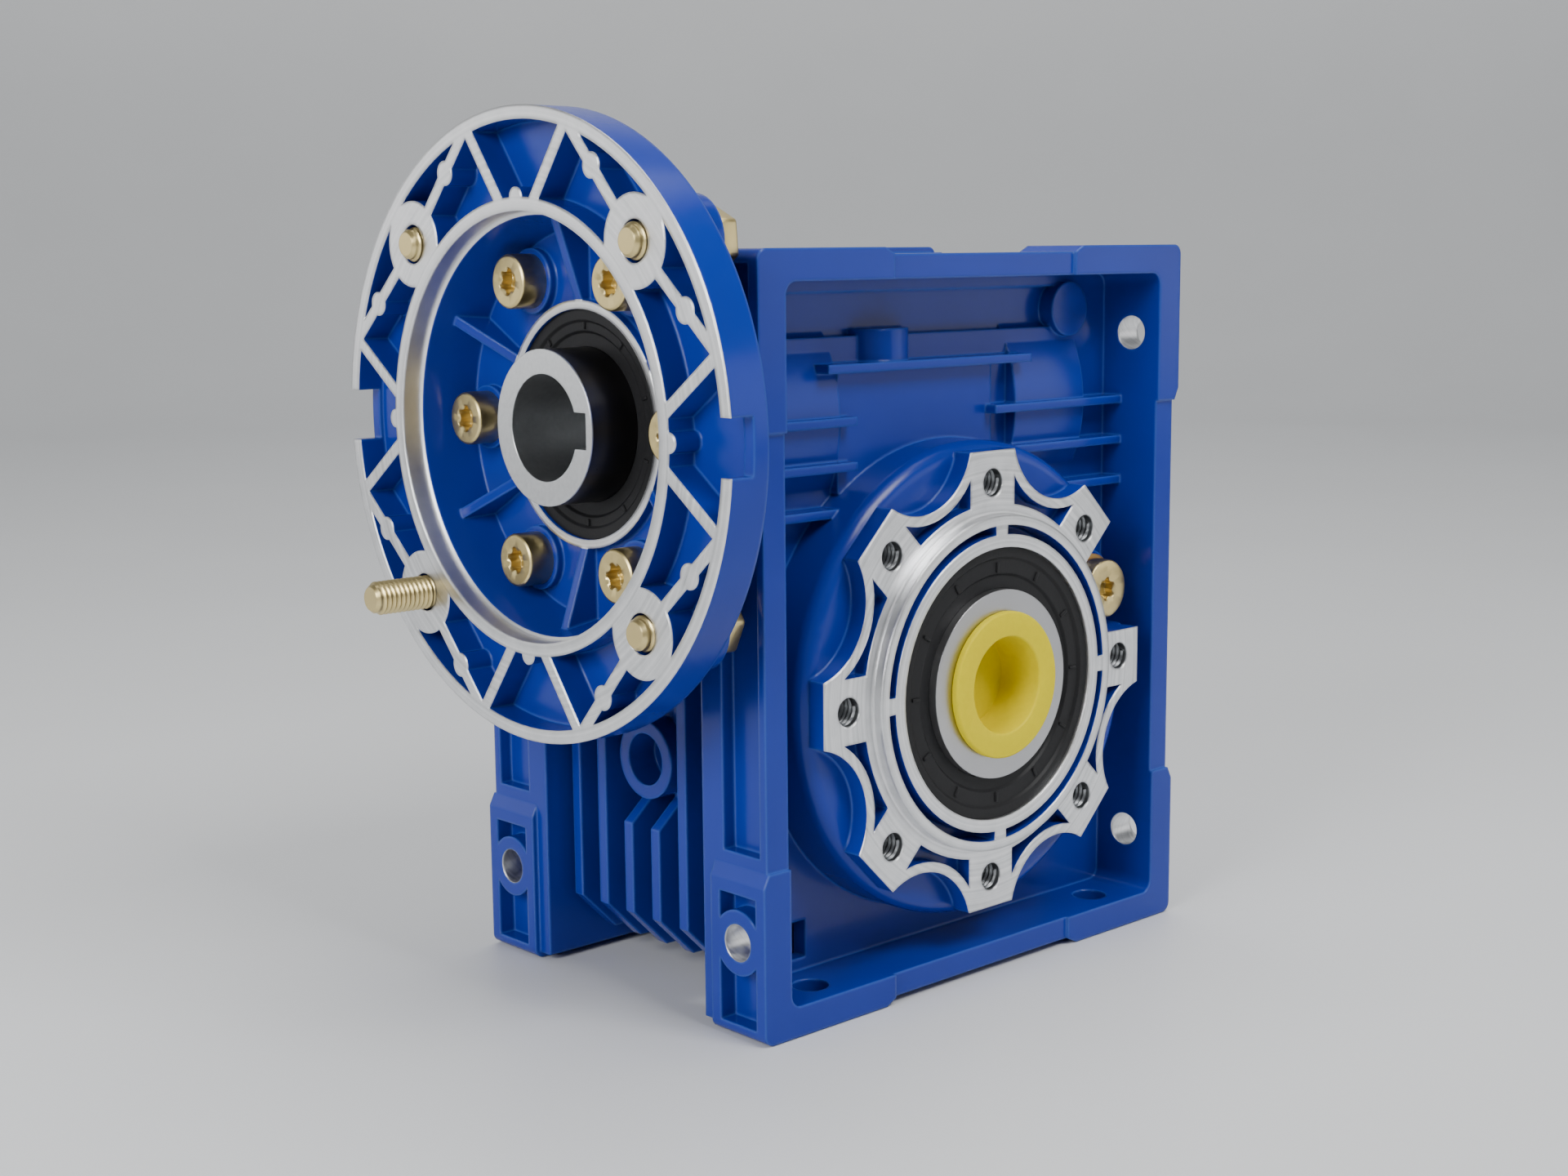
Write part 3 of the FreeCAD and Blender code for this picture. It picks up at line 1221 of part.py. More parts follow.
shaft_plug = new_body("shaft_plug")
plug_profile = new_sketch(shaft_plug, "XY_Plane")
plug_stem = "(plug_relief / 2 - running_gap)"
outline(plug_profile, [
    (0, "plug_length"),
    (0, "plug_length - plug_bottom"),
    ("plug_cup / 2", "plug_length - plug_bottom"),
    ("plug_cup / 2", "-1 * plug_rim_thickness"),
    ("plug_rim / 2", "-1 * plug_rim_thickness"),
    ("plug_rim / 2", 0),
    (plug_stem, 0),
    (plug_stem, "plug_length"),
])
turn_profile(shaft_plug, plug_profile)
place_on_axis(shaft_plug, False, "-1 * spigot_face")


# Check every object, then write one file for each piece

doc.recompute()
failed = [item.Label for item in doc.Objects if {"Invalid", "Error"} & set(item.State)]
failed += [piece.Label for piece in pieces if piece.Shape.isNull() or not piece.Shape.isValid()]
if failed:
    raise RuntimeError("failed objects: " + ", ".join(failed))
os.makedirs("parts", exist_ok=True)
for piece in pieces:
    piece.Shape.exportStep(f"parts/{piece.Label}.step")
    print(piece.Label, len(piece.Shape.Solids), round(piece.Shape.Volume / 1000, 2))
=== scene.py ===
import json
import math

import bmesh
import bpy
from mathutils import Matrix, Vector


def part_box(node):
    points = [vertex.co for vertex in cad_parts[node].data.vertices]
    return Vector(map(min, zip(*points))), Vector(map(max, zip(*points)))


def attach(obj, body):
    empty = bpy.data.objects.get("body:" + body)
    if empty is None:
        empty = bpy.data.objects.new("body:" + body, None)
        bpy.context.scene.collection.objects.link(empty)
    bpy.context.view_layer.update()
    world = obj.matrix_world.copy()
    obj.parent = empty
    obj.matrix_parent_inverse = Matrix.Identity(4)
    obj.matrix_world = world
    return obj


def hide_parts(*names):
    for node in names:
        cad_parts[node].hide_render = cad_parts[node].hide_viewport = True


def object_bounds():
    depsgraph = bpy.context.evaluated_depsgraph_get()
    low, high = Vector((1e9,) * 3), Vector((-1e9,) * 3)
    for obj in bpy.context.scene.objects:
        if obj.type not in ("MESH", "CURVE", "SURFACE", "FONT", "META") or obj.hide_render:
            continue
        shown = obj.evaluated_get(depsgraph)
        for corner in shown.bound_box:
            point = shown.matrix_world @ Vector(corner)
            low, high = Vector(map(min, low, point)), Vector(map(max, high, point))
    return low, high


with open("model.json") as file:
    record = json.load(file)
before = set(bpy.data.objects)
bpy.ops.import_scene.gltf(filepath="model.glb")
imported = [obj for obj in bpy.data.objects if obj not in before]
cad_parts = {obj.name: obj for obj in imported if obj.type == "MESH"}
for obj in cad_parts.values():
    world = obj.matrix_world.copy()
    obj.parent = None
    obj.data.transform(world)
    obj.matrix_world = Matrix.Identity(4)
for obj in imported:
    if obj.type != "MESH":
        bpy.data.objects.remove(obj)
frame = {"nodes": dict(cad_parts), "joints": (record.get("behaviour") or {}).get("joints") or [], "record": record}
cad_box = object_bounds()


# Camera: a lens of about 50 mm looks from the front left and a little above, as the photograph
# does, so that the motor flange and the output face both show.
azimuth, elevation, roll = (math.radians(angle) for angle in (-42.67, 8.92, -0.55))
stand_off, to_left, raised = 0.5482, 0.01328, 0.01662
back = Matrix.Rotation(azimuth, 3, "Z") @ Vector((0, -math.cos(elevation), math.sin(elevation)))
level = Vector((math.cos(azimuth), math.sin(azimuth), 0))
upright = back.cross(level)
side = level * math.cos(roll) + upright * math.sin(roll)
top = upright * math.cos(roll) - level * math.sin(roll)
camera = bpy.data.objects.new("photo_camera", bpy.data.cameras.new("photo_camera"))
camera.data.lens = 49.44
camera.data.sensor_width = 36
camera.matrix_world = Matrix((side, top, back)).transposed().to_4x4()
camera.location = back * stand_off - side * to_left + top * raised
bpy.context.scene.collection.objects.link(camera)
bpy.context.scene.camera = camera


# Studio: a pale paper cove runs under the feet and up all round the object. Soft boxes stand at the
# left, high in front and overhead, two low ones are mirrored by the machined faces, and the last
# lights the paper.
def soft_box(name, place, aim, size, watts):
    """A soft rectangular lamp that the camera does not see."""
    lamp = bpy.data.objects.new(name, bpy.data.lights.new(name, "AREA"))
    lamp.data.shape = "RECTANGLE"
    lamp.data.size, lamp.data.size_y = size
    lamp.data.energy = watts
    lamp.visible_camera = False
    lamp.location = place
    lamp.rotation_euler = (Vector(aim) - Vector(place)).to_track_quat("-Z", "Y").to_euler()
    bpy.context.scene.collection.objects.link(lamp)


def wire(tree, kind, inputs=(), **settings):
    """Add a node, set its properties and fill its inputs with values or other nodes' outputs."""
    node = tree.nodes.new(kind)
    for name, value in settings.items():
        setattr(node, name, value)
    for socket, value in inputs:
        if isinstance(value, bpy.types.NodeSocket):
            tree.links.new(value, node.inputs[socket])
        else:
            node.inputs[socket].default_value = value
    return node


def grain(tree, scale, detail=2.0):
    """Noise on the piece's own coordinates."""
    place = tree.nodes.new("ShaderNodeTexCoord").outputs["Object"]
    noise = wire(tree, "ShaderNodeTexNoise", [("Vector", place), ("Scale", scale), ("Detail", detail)])
    return noise.outputs["Fac"]


def mixed(tree, factor, first, second, colours=True):
    """Two colours, or two values, mixed by a factor from 0 to 1."""
    kind, socket, result = ("RGBA", 6, 2) if colours else ("FLOAT", 2, 0)
    inputs = [(0, factor), (socket, first), (socket + 1, second)]
    return wire(tree, "ShaderNodeMix", inputs, data_type=kind).outputs[result]


def between(tree, factor, low, high):
    """A value or colour that goes from low to high as the factor goes from 0 to 1."""
    if isinstance(low, tuple):
        return mixed(tree, factor, (*low, 1), (*high, 1))
    ends = [("Value", factor), ("To Min", low), ("To Max", high)]
    return wire(tree, "ShaderNodeMapRange", ends).outputs[0]


def new_finish(name):
    """An empty finish with its node tree and its shader."""
    finish = bpy.data.materials.new(name)
    finish.use_nodes = True
    return finish, finish.node_tree, finish.node_tree.nodes["Principled BSDF"]


soft_box("left_light", place=(-0.95, -0.2, 0.42), aim=(-0.05, 0, 0.04), size=(0.45, 0.45), watts=9)
soft_box("front_light", place=(0.05, -0.72, 0.85), aim=(0, 0, 0.03), size=(0.45, 0.45), watts=9)
soft_box("top_light", place=(0.1, -0.05, 0.85), aim=(0, 0, 0.05), size=(0.7, 0.7), watts=2.5)
soft_box("right_box", place=(0.62, -0.7, 0.2), aim=(0, 0, 0.02), size=(0.7, 0.4), watts=1.1)
soft_box("left_box", place=(-0.62, 0.7, 0.2), aim=(-0.09, 0, 0.06), size=(0.7, 0.4), watts=1.1)
soft_box("paper_light", place=(0.5, 0.55, 2.2), aim=(1.5, 1.6, 0.5), size=(1.5, 1.5), watts=30)
surround = bpy.data.worlds.new("studio_surround")
surround.use_nodes = True
surround.node_tree.nodes["Background"].inputs["Color"].default_value = (0.62, 0.64, 0.67, 1)
surround.node_tree.nodes["Background"].inputs["Strength"].default_value = 0.12
bpy.context.scene.world = surround

paper_gap, floor_radius, bend_radius, wall_height = 0.0002, 1.7, 0.9, 2.4
floor_level = cad_box[0].z - paper_gap
paper_mesh = bmesh.new()
foot = paper_mesh.verts.new((floor_radius, 0, floor_level))
bend = bmesh.ops.spin(paper_mesh, geom=[foot], cent=(floor_radius, 0, floor_level + bend_radius),
                      axis=(0, -1, 0), angle=math.radians(90), steps=18)
head = next(item for item in bend["geom_last"] if isinstance(item, bmesh.types.BMVert))
for end, run in ((foot, (-floor_radius, 0, 0)), (head, (0, 0, wall_height))):
    tip = bmesh.ops.extrude_vert_indiv(paper_mesh, verts=[end])["verts"]
    bmesh.ops.translate(paper_mesh, verts=tip, vec=run)
bmesh.ops.spin(paper_mesh, geom=[*paper_mesh.verts, *paper_mesh.edges], cent=(0, 0, 0), axis=(0, 0, 1),
               angle=2 * math.pi, steps=96, use_merge=True)
bmesh.ops.remove_doubles(paper_mesh, verts=paper_mesh.verts, dist=0.0001)
bmesh.ops.recalc_face_normals(paper_mesh, faces=paper_mesh.faces)
bmesh.ops.reverse_faces(paper_mesh, faces=paper_mesh.faces)
cove = bpy.data.objects.new("paper_cove", bpy.data.meshes.new("paper_cove"))
paper_mesh.to_mesh(cove.data)
paper_mesh.free()
cove.data.shade_smooth()
bpy.context.scene.collection.objects.link(cove)
paper, tree, shader = new_finish("pale_paper")
pulp = between(tree, grain(tree, scale=6), (0.62, 0.63, 0.64), (0.66, 0.67, 0.68))
tree.links.new(pulp, shader.inputs["Base Color"])
shader.inputs["Roughness"].default_value = 0.42
cove.data.materials.append(paper)


# Housing, rear cover and motor flange: aluminium castings sprayed with royal blue enamel. The
# faces that bolt to other machines and the bolt holes are machined afterwards and stay bare, with
# fine rings from the lathe. A lighter blue is painted along the enamel's edges as a highlight.
def math_of(tree, operation, first, second=0.0, third=0.0):
    """The result of one operation on values or other nodes' outputs."""
    inputs = [(0, first), (1, second), (2, third)]
    return wire(tree, "ShaderNodeMath", inputs, operation=operation).outputs[0]


def distance(tree, first, second):
    """The length of two legs at a right angle."""
    squares = math_of(tree, "ADD", math_of(tree, "POWER", first, 2), math_of(tree, "POWER", second, 2))
    return math_of(tree, "SQRT", squares)


def coordinates(tree):
    """The X, Y and Z of the piece's own coordinates."""
    place = tree.nodes.new("ShaderNodeTexCoord").outputs["Object"]
    return wire(tree, "ShaderNodeSeparateXYZ", [("Vector", place)]).outputs


def rounded_edges(tree, radius, samples=4):
    """The normal of the surface with its sharp edges rounded."""
    return wire(tree, "ShaderNodeBevel", [("Radius", radius)], samples=samples).outputs[0]


def emboss(tree, shader, height, strength, depth=0.0002, base=None):
    """Raise a pattern on the surface, over a base normal where one is given."""
    relief = [("Height", height), ("Strength", strength), ("Distance", depth)]
    if base is not None:
        relief.append(("Normal", base))
    tree.links.new(wire(tree, "ShaderNodeBump", relief).outputs[0], shader.inputs["Normal"])


def enamel_on_casting(name, machined):
    """Blue enamel with rounded cast edges and a painted highlight of lighter blue along them; machined gives the
    mask of bare metal and its lathe radius.
    """
    cast_radius, flat_cosine, corner_cosine, highlight_share = 0.0011, 0.985, 0.8, 0.8
    deep_blue, royal_blue, highlight_blue = (0.004, 0.022, 0.25), (0.006, 0.030, 0.31), (0.045, 0.12, 0.48, 1)
    dull_metal, bright_metal = (0.56, 0.57, 0.58), (0.90, 0.90, 0.91)
    ring_share, blotch_share = 1.6, 0.6
    finish, tree, shader = new_finish(name)
    bare, radius = machined(tree, *coordinates(tree))
    rounded = rounded_edges(tree, cast_radius, samples=6)
    flat = tree.nodes.new("ShaderNodeNewGeometry").outputs["Normal"]
    # Painted highlight: where the rounded normal leans away from the flat one, at convex and concave edges alike,
    # the enamel turns a lighter blue.
    normals = [(0, rounded), (1, flat)]
    along = wire(tree, "ShaderNodeVectorMath", normals, operation="DOT_PRODUCT").outputs["Value"]
    bend = [("Value", along), ("From Min", flat_cosine), ("From Max", corner_cosine), ("To Max", highlight_share)]
    edge_highlight = wire(tree, "ShaderNodeMapRange", bend).outputs[0]
    peel = grain(tree, scale=350, detail=1)
    lathe = [("W", radius), ("Scale", 900), ("Detail", 5)]
    rings = wire(tree, "ShaderNodeTexNoise", lathe, noise_dimensions="1D").outputs["Fac"]
    blotch = math_of(tree, "MULTIPLY_ADD", grain(tree, scale=250, detail=3), blotch_share, -blotch_share)
    turning = math_of(tree, "MULTIPLY_ADD", rings, ring_share, blotch)
    # The painted edge highlight is mixed into the enamel here.
    paint = mixed(tree, edge_highlight, between(tree, grain(tree, scale=45), deep_blue, royal_blue), highlight_blue)
    metal = between(tree, turning, dull_metal, bright_metal)
    paint_gloss = between(tree, peel, low=0.18, high=0.26)
    metal_gloss = between(tree, turning, low=0.26, high=0.44)
    tree.links.new(mixed(tree, bare, paint, metal), shader.inputs["Base Color"])
    tree.links.new(bare, shader.inputs["Metallic"])
    tree.links.new(mixed(tree, bare, paint_gloss, metal_gloss, colours=False), shader.inputs["Roughness"])
    height = mixed(tree, bare, peel, turning, colours=False)
    emboss(tree, shader, height, strength=0.07, depth=0.0003, base=rounded)
    shader.inputs["Specular IOR Level"].default_value = 0.32
    return finish


def output_machining(tree, x, y, z):
    """The lug faces, the spigots with the bridges over their painted slot, and the drilled side holes."""
    lug_edge, spigot_edge, slot_radius, slot_half = 0.0527, 0.0558, 0.0366, 0.00115
    side_wall, hole_row, hole_heights, hole_radius = 0.0638, 0.0425, (-0.05, 0.08), 0.0043
    out = math_of(tree, "ABSOLUTE", y)
    radius = distance(tree, x, z)
    beside_slot = math_of(tree, "SUBTRACT", 1.0, math_of(tree, "COMPARE", radius, slot_radius, slot_half))
    lugs = math_of(tree, "MULTIPLY", math_of(tree, "GREATER_THAN", out, lug_edge), beside_slot)
    bare = math_of(tree, "MAXIMUM", lugs, math_of(tree, "GREATER_THAN", out, spigot_edge))
    from_row = math_of(tree, "SUBTRACT", out, hole_row)
    in_wall = math_of(tree, "GREATER_THAN", math_of(tree, "ABSOLUTE", x), side_wall)
    for height in hole_heights:
        away_from_hole = distance(tree, from_row, math_of(tree, "SUBTRACT", z, height))
        drilled = math_of(tree, "LESS_THAN", away_from_hole, hole_radius)
        bare = math_of(tree, "MAXIMUM", bare, math_of(tree, "MULTIPLY", drilled, in_wall))
    return bare, radius


worm_height = next(joint["pos_m"][2] for joint in frame["joints"] if joint["name"] == "worm_spin")


def motor_machining(tree, x, y, z):
    """The webbed face, the register bore and the rim of the seal seat."""
    web_face, register, register_bore, seal_rim, seal_bore = -0.0957, -0.0909, 0.0476, -0.0794, 0.0281
    radius = distance(tree, y, math_of(tree, "SUBTRACT", z, worm_height))
    bare = math_of(tree, "LESS_THAN", x, web_face)
    for depth, bore in ((register, register_bore), (seal_rim, seal_bore)):
        deep = math_of(tree, "LESS_THAN", x, depth)
        bored = math_of(tree, "MULTIPLY", deep, math_of(tree, "LESS_THAN", radius, bore))
        bare = math_of(tree, "MAXIMUM", bare, bored)
    return bare, radius


def dress(node_name, finish):
    """Give a CAD node its finish."""
    slots = frame["nodes"][node_name].data.materials
    slots.clear()
    slots.append(finish)


housing_enamel = enamel_on_casting("housing_enamel", output_machining)
dress("housing", housing_enamel)
dress("output_cover", housing_enamel)
dress("input_flange", enamel_on_casting("flange_enamel", motor_machining))


# Rear cover screws: eight steel socket screws, plated with gold zinc, hold the rear cover to the
# housing through its rim. Each round head has a six-lobed socket.
def turned_metal(name, dark, light, smooth, rough):
    """Turned metal: fine random tool marks in colour, gloss and height, and broken edges."""
    broken_edge = 0.0004
    finish, tree, shader = new_finish(name)
    marks = grain(tree, scale=900, detail=4)
    tree.links.new(between(tree, grain(tree, scale=60), dark, light), shader.inputs["Base Color"])
    tree.links.new(between(tree, marks, smooth, rough), shader.inputs["Roughness"])
    emboss(tree, shader, marks, strength=0.08, base=rounded_edges(tree, broken_edge))
    shader.inputs["Metallic"].default_value = 1.0
    return finish


def disc(mesh, segments, radius, height):
    """A flat face round the Z axis at a height; returns its rim."""
    corners = bmesh.ops.create_circle(mesh, segments=segments, radius=radius)["verts"]
    bmesh.ops.translate(mesh, verts=corners, vec=(0, 0, height))
    rim = list(dict.fromkeys(edge for corner in corners for edge in corner.link_edges))
    bmesh.ops.contextual_create(mesh, geom=rim)
    return rim


def ring_up(mesh, ring, factor=1.0, lift=0.0):
    """Extrude a ring of edges, scale it about the Z axis and lift it; returns the new ring."""
    grown = bmesh.ops.extrude_edge_only(mesh, edges=ring)["geom"]
    corners = [item for item in grown if isinstance(item, bmesh.types.BMVert)]
    bmesh.ops.scale(mesh, verts=corners, vec=(factor, factor, 1))
    bmesh.ops.translate(mesh, verts=corners, vec=(0, 0, lift))
    return [item for item in grown if isinstance(item, bmesh.types.BMEdge)]


def socket_screw(shank, reach, head, height, socket, lobe_share):
    """A screw along +Z whose head stands on Z = 0, in millimetres, with a six-lobed socket."""
    lobes, mouth, sink, depth = 6, 1.18 * socket, 0.06 * height, 0.45 * height
    lip, shoulder, crown, taper = 0.12 * height, 0.965, 0.93, 0.96
    screw = bmesh.new()
    ring = disc(screw, segments=48, radius=shank, height=-reach)
    ring = ring_up(screw, ring, lift=reach)
    ring = ring_up(screw, ring, head / shank)
    ring = ring_up(screw, ring, lift=height - lip)
    ring = ring_up(screw, ring, shoulder, 0.65 * lip)
    ring = ring_up(screw, ring, crown, 0.35 * lip)
    ring = ring_up(screw, ring, mouth / (shoulder * crown * head))
    ring = ring_up(screw, ring, socket / mouth, -sink)
    for corner in {corner for edge in ring for corner in edge.verts}:
        swell = 1 + lobe_share * math.cos(lobes * math.atan2(corner.co.y, corner.co.x))
        corner.co.x *= swell
        corner.co.y *= swell
    ring = ring_up(screw, ring, taper, -depth)
    bmesh.ops.contextual_create(screw, geom=ring)
    bmesh.ops.recalc_face_normals(screw, faces=screw.faces)
    return screw


def circle_of_seats(centre, across, radius, count, facing, first=0.0, turn=0.0, twist=0.0):
    """Places spread evenly on an upright circle, each turned about its own axis by one more twist."""
    seats = []
    for step in range(count):
        angle = first + 2 * math.pi * step / count
        reach = math.cos(angle) * across + math.sin(angle) * Vector((0, 0, 1))
        seat = Matrix.Translation(Vector(centre) + radius * reach)
        seats.append(seat @ facing @ Matrix.Rotation(turn + twist * step, 4, "Z"))
    return seats


def place_copies(part, places):
    """One mesh with a copy of the part at each place."""
    joined = bmesh.new()
    single = bpy.data.meshes.new("single")
    part.to_mesh(single)
    part.free()
    for place in places:
        first = len(joined.verts)
        joined.from_mesh(single)
        joined.verts.ensure_lookup_table()
        bmesh.ops.transform(joined, matrix=place, verts=joined.verts[first:])
    bpy.data.meshes.remove(single)
    return joined


millimetre = 0.001


def node_box(node_name):
    """The lowest and the highest corner of a CAD node, in millimetres."""
    return [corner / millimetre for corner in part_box(node_name)]


def finished_piece(name, mesh, finish, body, slot, *replaced):
    """Turn a mesh drawn in millimetres into a piece in metres that rides on its body."""
    crease = math.radians(32)
    bmesh.ops.scale(mesh, verts=mesh.verts, vec=(millimetre, millimetre, millimetre))
    piece = bpy.data.objects.new(name, bpy.data.meshes.new(name))
    mesh.to_mesh(piece.data)
    mesh.free()
    piece.data.shade_smooth()
    piece.data.set_sharp_from_angle(angle=crease)
    piece.data.materials.append(finish)
    bpy.context.scene.collection.objects.link(piece)
    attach(piece, body)
    if replaced:
        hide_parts(*replaced)


facing_rear = Matrix.Rotation(math.radians(-90), 4, "X")
facing_front = Matrix.Rotation(math.radians(90), 4, "X")
facing_motor = Matrix.Rotation(math.radians(-90), 4, "Y")
gold_zinc = turned_metal("gold_zinc", (0.62, 0.49, 0.21), (0.74, 0.61, 0.31), smooth=0.26, rough=0.40)
output_across = Vector((1, 0, 0))
screw_circle, head_height = 57, 5
cover_rim = node_box("output_cover_screws")[1].y - head_height
cover_seats = circle_of_seats((0, cover_rim, 0), output_across, screw_circle, count=8, facing=facing_rear,
                              first=math.radians(22.5), twist=1.7)
cover_screw = socket_screw(shank=2.5, reach=14, head=4.25, height=head_height, socket=2.3, lobe_share=0.08)
finished_piece("cover_screw_set", place_copies(cover_screw, cover_seats), gold_zinc, "case", "gold_zinc",
               "output_cover_screws")


# Bearings: four ball bearings of ground steel, pressed into their seats in the castings. They lie
# hidden between the shafts and the seals.
bearing_steel = turned_metal("bearing_steel", (0.55, 0.55, 0.57), (0.65, 0.65, 0.67),
                             smooth=0.15, rough=0.25)
for bearing in ("front_bearing", "rear_bearing", "worm_input_bearing", "worm_tail_bearing"):
    for ring in ("outer_ring", "inner_ring", "balls"):
        dress(f"{bearing}_{ring}", bearing_steel)


# Output shaft and wheel: a hollow turned steel shaft, with a cast bronze rim shrunk on its hub
# and toothed to match the worm.
satin_steel = turned_metal("satin_steel", (0.42, 0.42, 0.43), (0.52, 0.52, 0.53), smooth=0.28, rough=0.42)
dress("output_shaft", satin_steel)
bronze = turned_metal("bronze", (0.52, 0.30, 0.10), (0.64, 0.40, 0.16), smooth=0.26, rough=0.40)
dress("worm_wheel_rim", bronze)


# Worm shaft: case-hardened steel left dark, with its open end and its keyed bore cut bright. A
# spring ring holds the tail bearing on it.
worm_steel, tree, shader = new_finish("worm_steel")
bore_end, bore_radius, ground_end, broken_edge = -0.0395, 0.0165, -0.0896, 0.0005
along_worm, across_worm, height = coordinates(tree)
from_axis = distance(tree, across_worm, math_of(tree, "SUBTRACT", height, worm_height))
in_bore = math_of(tree, "MULTIPLY", math_of(tree, "LESS_THAN", along_worm, bore_end),
                  math_of(tree, "LESS_THAN", from_axis, bore_radius))
ground = math_of(tree, "MAXIMUM", math_of(tree, "LESS_THAN", along_worm, ground_end), in_bore)
marks = grain(tree, scale=900, detail=4)
oxide = between(tree, grain(tree, scale=70), (0.050, 0.048, 0.050), (0.10, 0.095, 0.095))
bright = between(tree, marks, (0.55, 0.56, 0.57), (0.72, 0.73, 0.74))
tree.links.new(mixed(tree, ground, oxide, bright), shader.inputs["Base Color"])
tree.links.new(between(tree, marks, low=0.24, high=0.38), shader.inputs["Roughness"])
emboss(tree, shader, marks, strength=0.08, base=rounded_edges(tree, broken_edge))
shader.inputs["Metallic"].default_value = 1.0
dress("worm_shaft", worm_steel)
spring_steel = turned_metal("spring_steel", (0.050, 0.050, 0.055), (0.085, 0.083, 0.085),
                            smooth=0.26, rough=0.40)
dress("worm_retaining_ring", spring_steel)


# Seals: black nitrile rubber moulded round a steel shell and pressed into their seats with the
# dished side out, where small raised ticks stand from the mould. The ring in the cover and the
# cap on the far end of the worm tunnel are of the same rubber.
rubber, tree, shader = new_finish("seal_rubber")
skin = grain(tree, scale=1500, detail=3)
soot = between(tree, skin, (0.009, 0.009, 0.010), (0.017, 0.017, 0.018))
moulded_edge = 0.0004
tree.links.new(soot, shader.inputs["Base Color"])
tree.links.new(between(tree, skin, low=0.38, high=0.55), shader.inputs["Roughness"])
emboss(tree, shader, skin, strength=0.15, base=rounded_edges(tree, moulded_edge))
shader.inputs["Specular IOR Level"].default_value = 0.2
for seal in ("front_output_seal", "rear_output_seal", "input_seal", "output_cover_o_ring", "worm_end_cap"):
    dress(seal, rubber)


def mould_ticks(count, radius, long, wide, place):
    """A ring of small raised bars, drawn in millimetres round the Z axis and then moved to its place."""
    thick, rounding = 0.7, 0.12
    bar = bmesh.new()
    bmesh.ops.create_cube(bar, size=1)
    bmesh.ops.scale(bar, verts=bar.verts, vec=(long, wide, thick))
    bmesh.ops.bevel(bar, geom=bar.edges, offset=rounding, segments=2, profile=0.5, affect="EDGES",
                    material=-1)
    bmesh.ops.translate(bar, verts=bar.verts, vec=(radius, 0, 0))
    turns = [place @ Matrix.Rotation(2 * math.pi * step / count, 4, "Z") for step in range(count)]
    return place_copies(bar, turns)


dish, worm_line = 0.55, worm_height / millimetre
front_dish = Matrix.Translation((0, node_box("front_output_seal")[0].y + dish, 0)) @ facing_front
rear_dish = Matrix.Translation((0, node_box("rear_output_seal")[1].y - dish, 0)) @ facing_rear
input_dish = Matrix.Translation((node_box("input_seal")[0].x + dish, 0, worm_line)) @ facing_motor
front_ticks = mould_ticks(count=12, radius=27.6, long=2.4, wide=0.8, place=front_dish)
rear_ticks = mould_ticks(count=12, radius=27.6, long=2.4, wide=0.8, place=rear_dish)
input_ticks = mould_ticks(count=10, radius=22.2, long=1.6, wide=0.7, place=input_dish)
finished_piece("front_seal_ticks", front_ticks, rubber, "case", "seal_rubber")
finished_piece("rear_seal_ticks", rear_ticks, rubber, "case", "seal_rubber")
finished_piece("input_seal_ticks", input_ticks, rubber, "case", "seal_rubber")


# Flange screws: six gold screws with cheese heads and lobed sockets hold the flange to the housing
# from inside its bell.
motor_across = Vector((0, 1, 0))
screw_circle, head_height = 37, 6.5
flange_floor = node_box("input_flange_screws")[0].x + head_height
flange_seats = circle_of_seats((flange_floor, 0, worm_line), motor_across, screw_circle, count=6,
                               facing=facing_motor, twist=0.9)
flange_screw = socket_screw(shank=3, reach=17, head=6.25, height=head_height, socket=2.75, lobe_share=0.14)
finished_piece("flange_screw_set", place_copies(flange_screw, flange_seats), gold_zinc, "case", "gold_zinc",
               "input_flange_screws")


# Motor bolts: hexagon bolts come through the flange lugs from behind, with a washer under each
# head. Their rolled threads stand out of the face, and the lower rear one is longer.
def thread_ridge(root, crest, pitch, turns, start):
    """A helical ridge round the Z axis from a start height, in millimetres."""
    steps_in_turn, half = 24, 0.44 * pitch
    ridge = bmesh.new()
    section = ((root, -half), (crest, 0), (root, half))
    corners = [ridge.verts.new((radius, 0, start + lift)) for radius, lift in section]
    flank = ridge.faces.new(corners)
    steps = round(steps_in_turn * turns)
    bmesh.ops.spin(ridge, geom=[*corners, *flank.edges, flank], cent=(0, 0, 0), axis=(0, 0, 1),
                   dvec=(0, 0, turns * pitch / steps), angle=2 * math.pi * turns, steps=steps)
    bmesh.ops.recalc_face_normals(ridge, faces=ridge.faces)
    return ridge


def hexagon_bolt(length, pitch):
    """A bolt along +Z whose hexagon head hangs below Z = 0, in millimetres."""
    across_flats, head_height, rounding = 13, 5.3, 0.7
    root, core, crest, run_out, point, point_share = 3.3, 3.4, 4.0, 1.6, 0.8, 0.8
    bolt = thread_ridge(root, crest, pitch, (length - point - run_out) / pitch, point)
    thread = set(bolt.faces)
    ring = disc(bolt, segments=6, radius=across_flats / math.sqrt(3), height=-head_height)
    ring = ring_up(bolt, ring, lift=head_height)
    bmesh.ops.contextual_create(bolt, geom=ring)
    head = dict.fromkeys(edge for face in bolt.faces if face not in thread for edge in face.edges)
    bmesh.ops.bevel(bolt, geom=list(head), offset=rounding, segments=3, profile=0.5, affect="EDGES",
                    material=-1)
    ring = disc(bolt, segments=48, radius=core, height=0)
    ring = ring_up(bolt, ring, lift=length - point)
    ring = ring_up(bolt, ring, point_share, point)
    bmesh.ops.contextual_create(bolt, geom=ring)
    bmesh.ops.recalc_face_normals(bolt, faces=[face for face in bolt.faces if face not in thread])
    return bolt


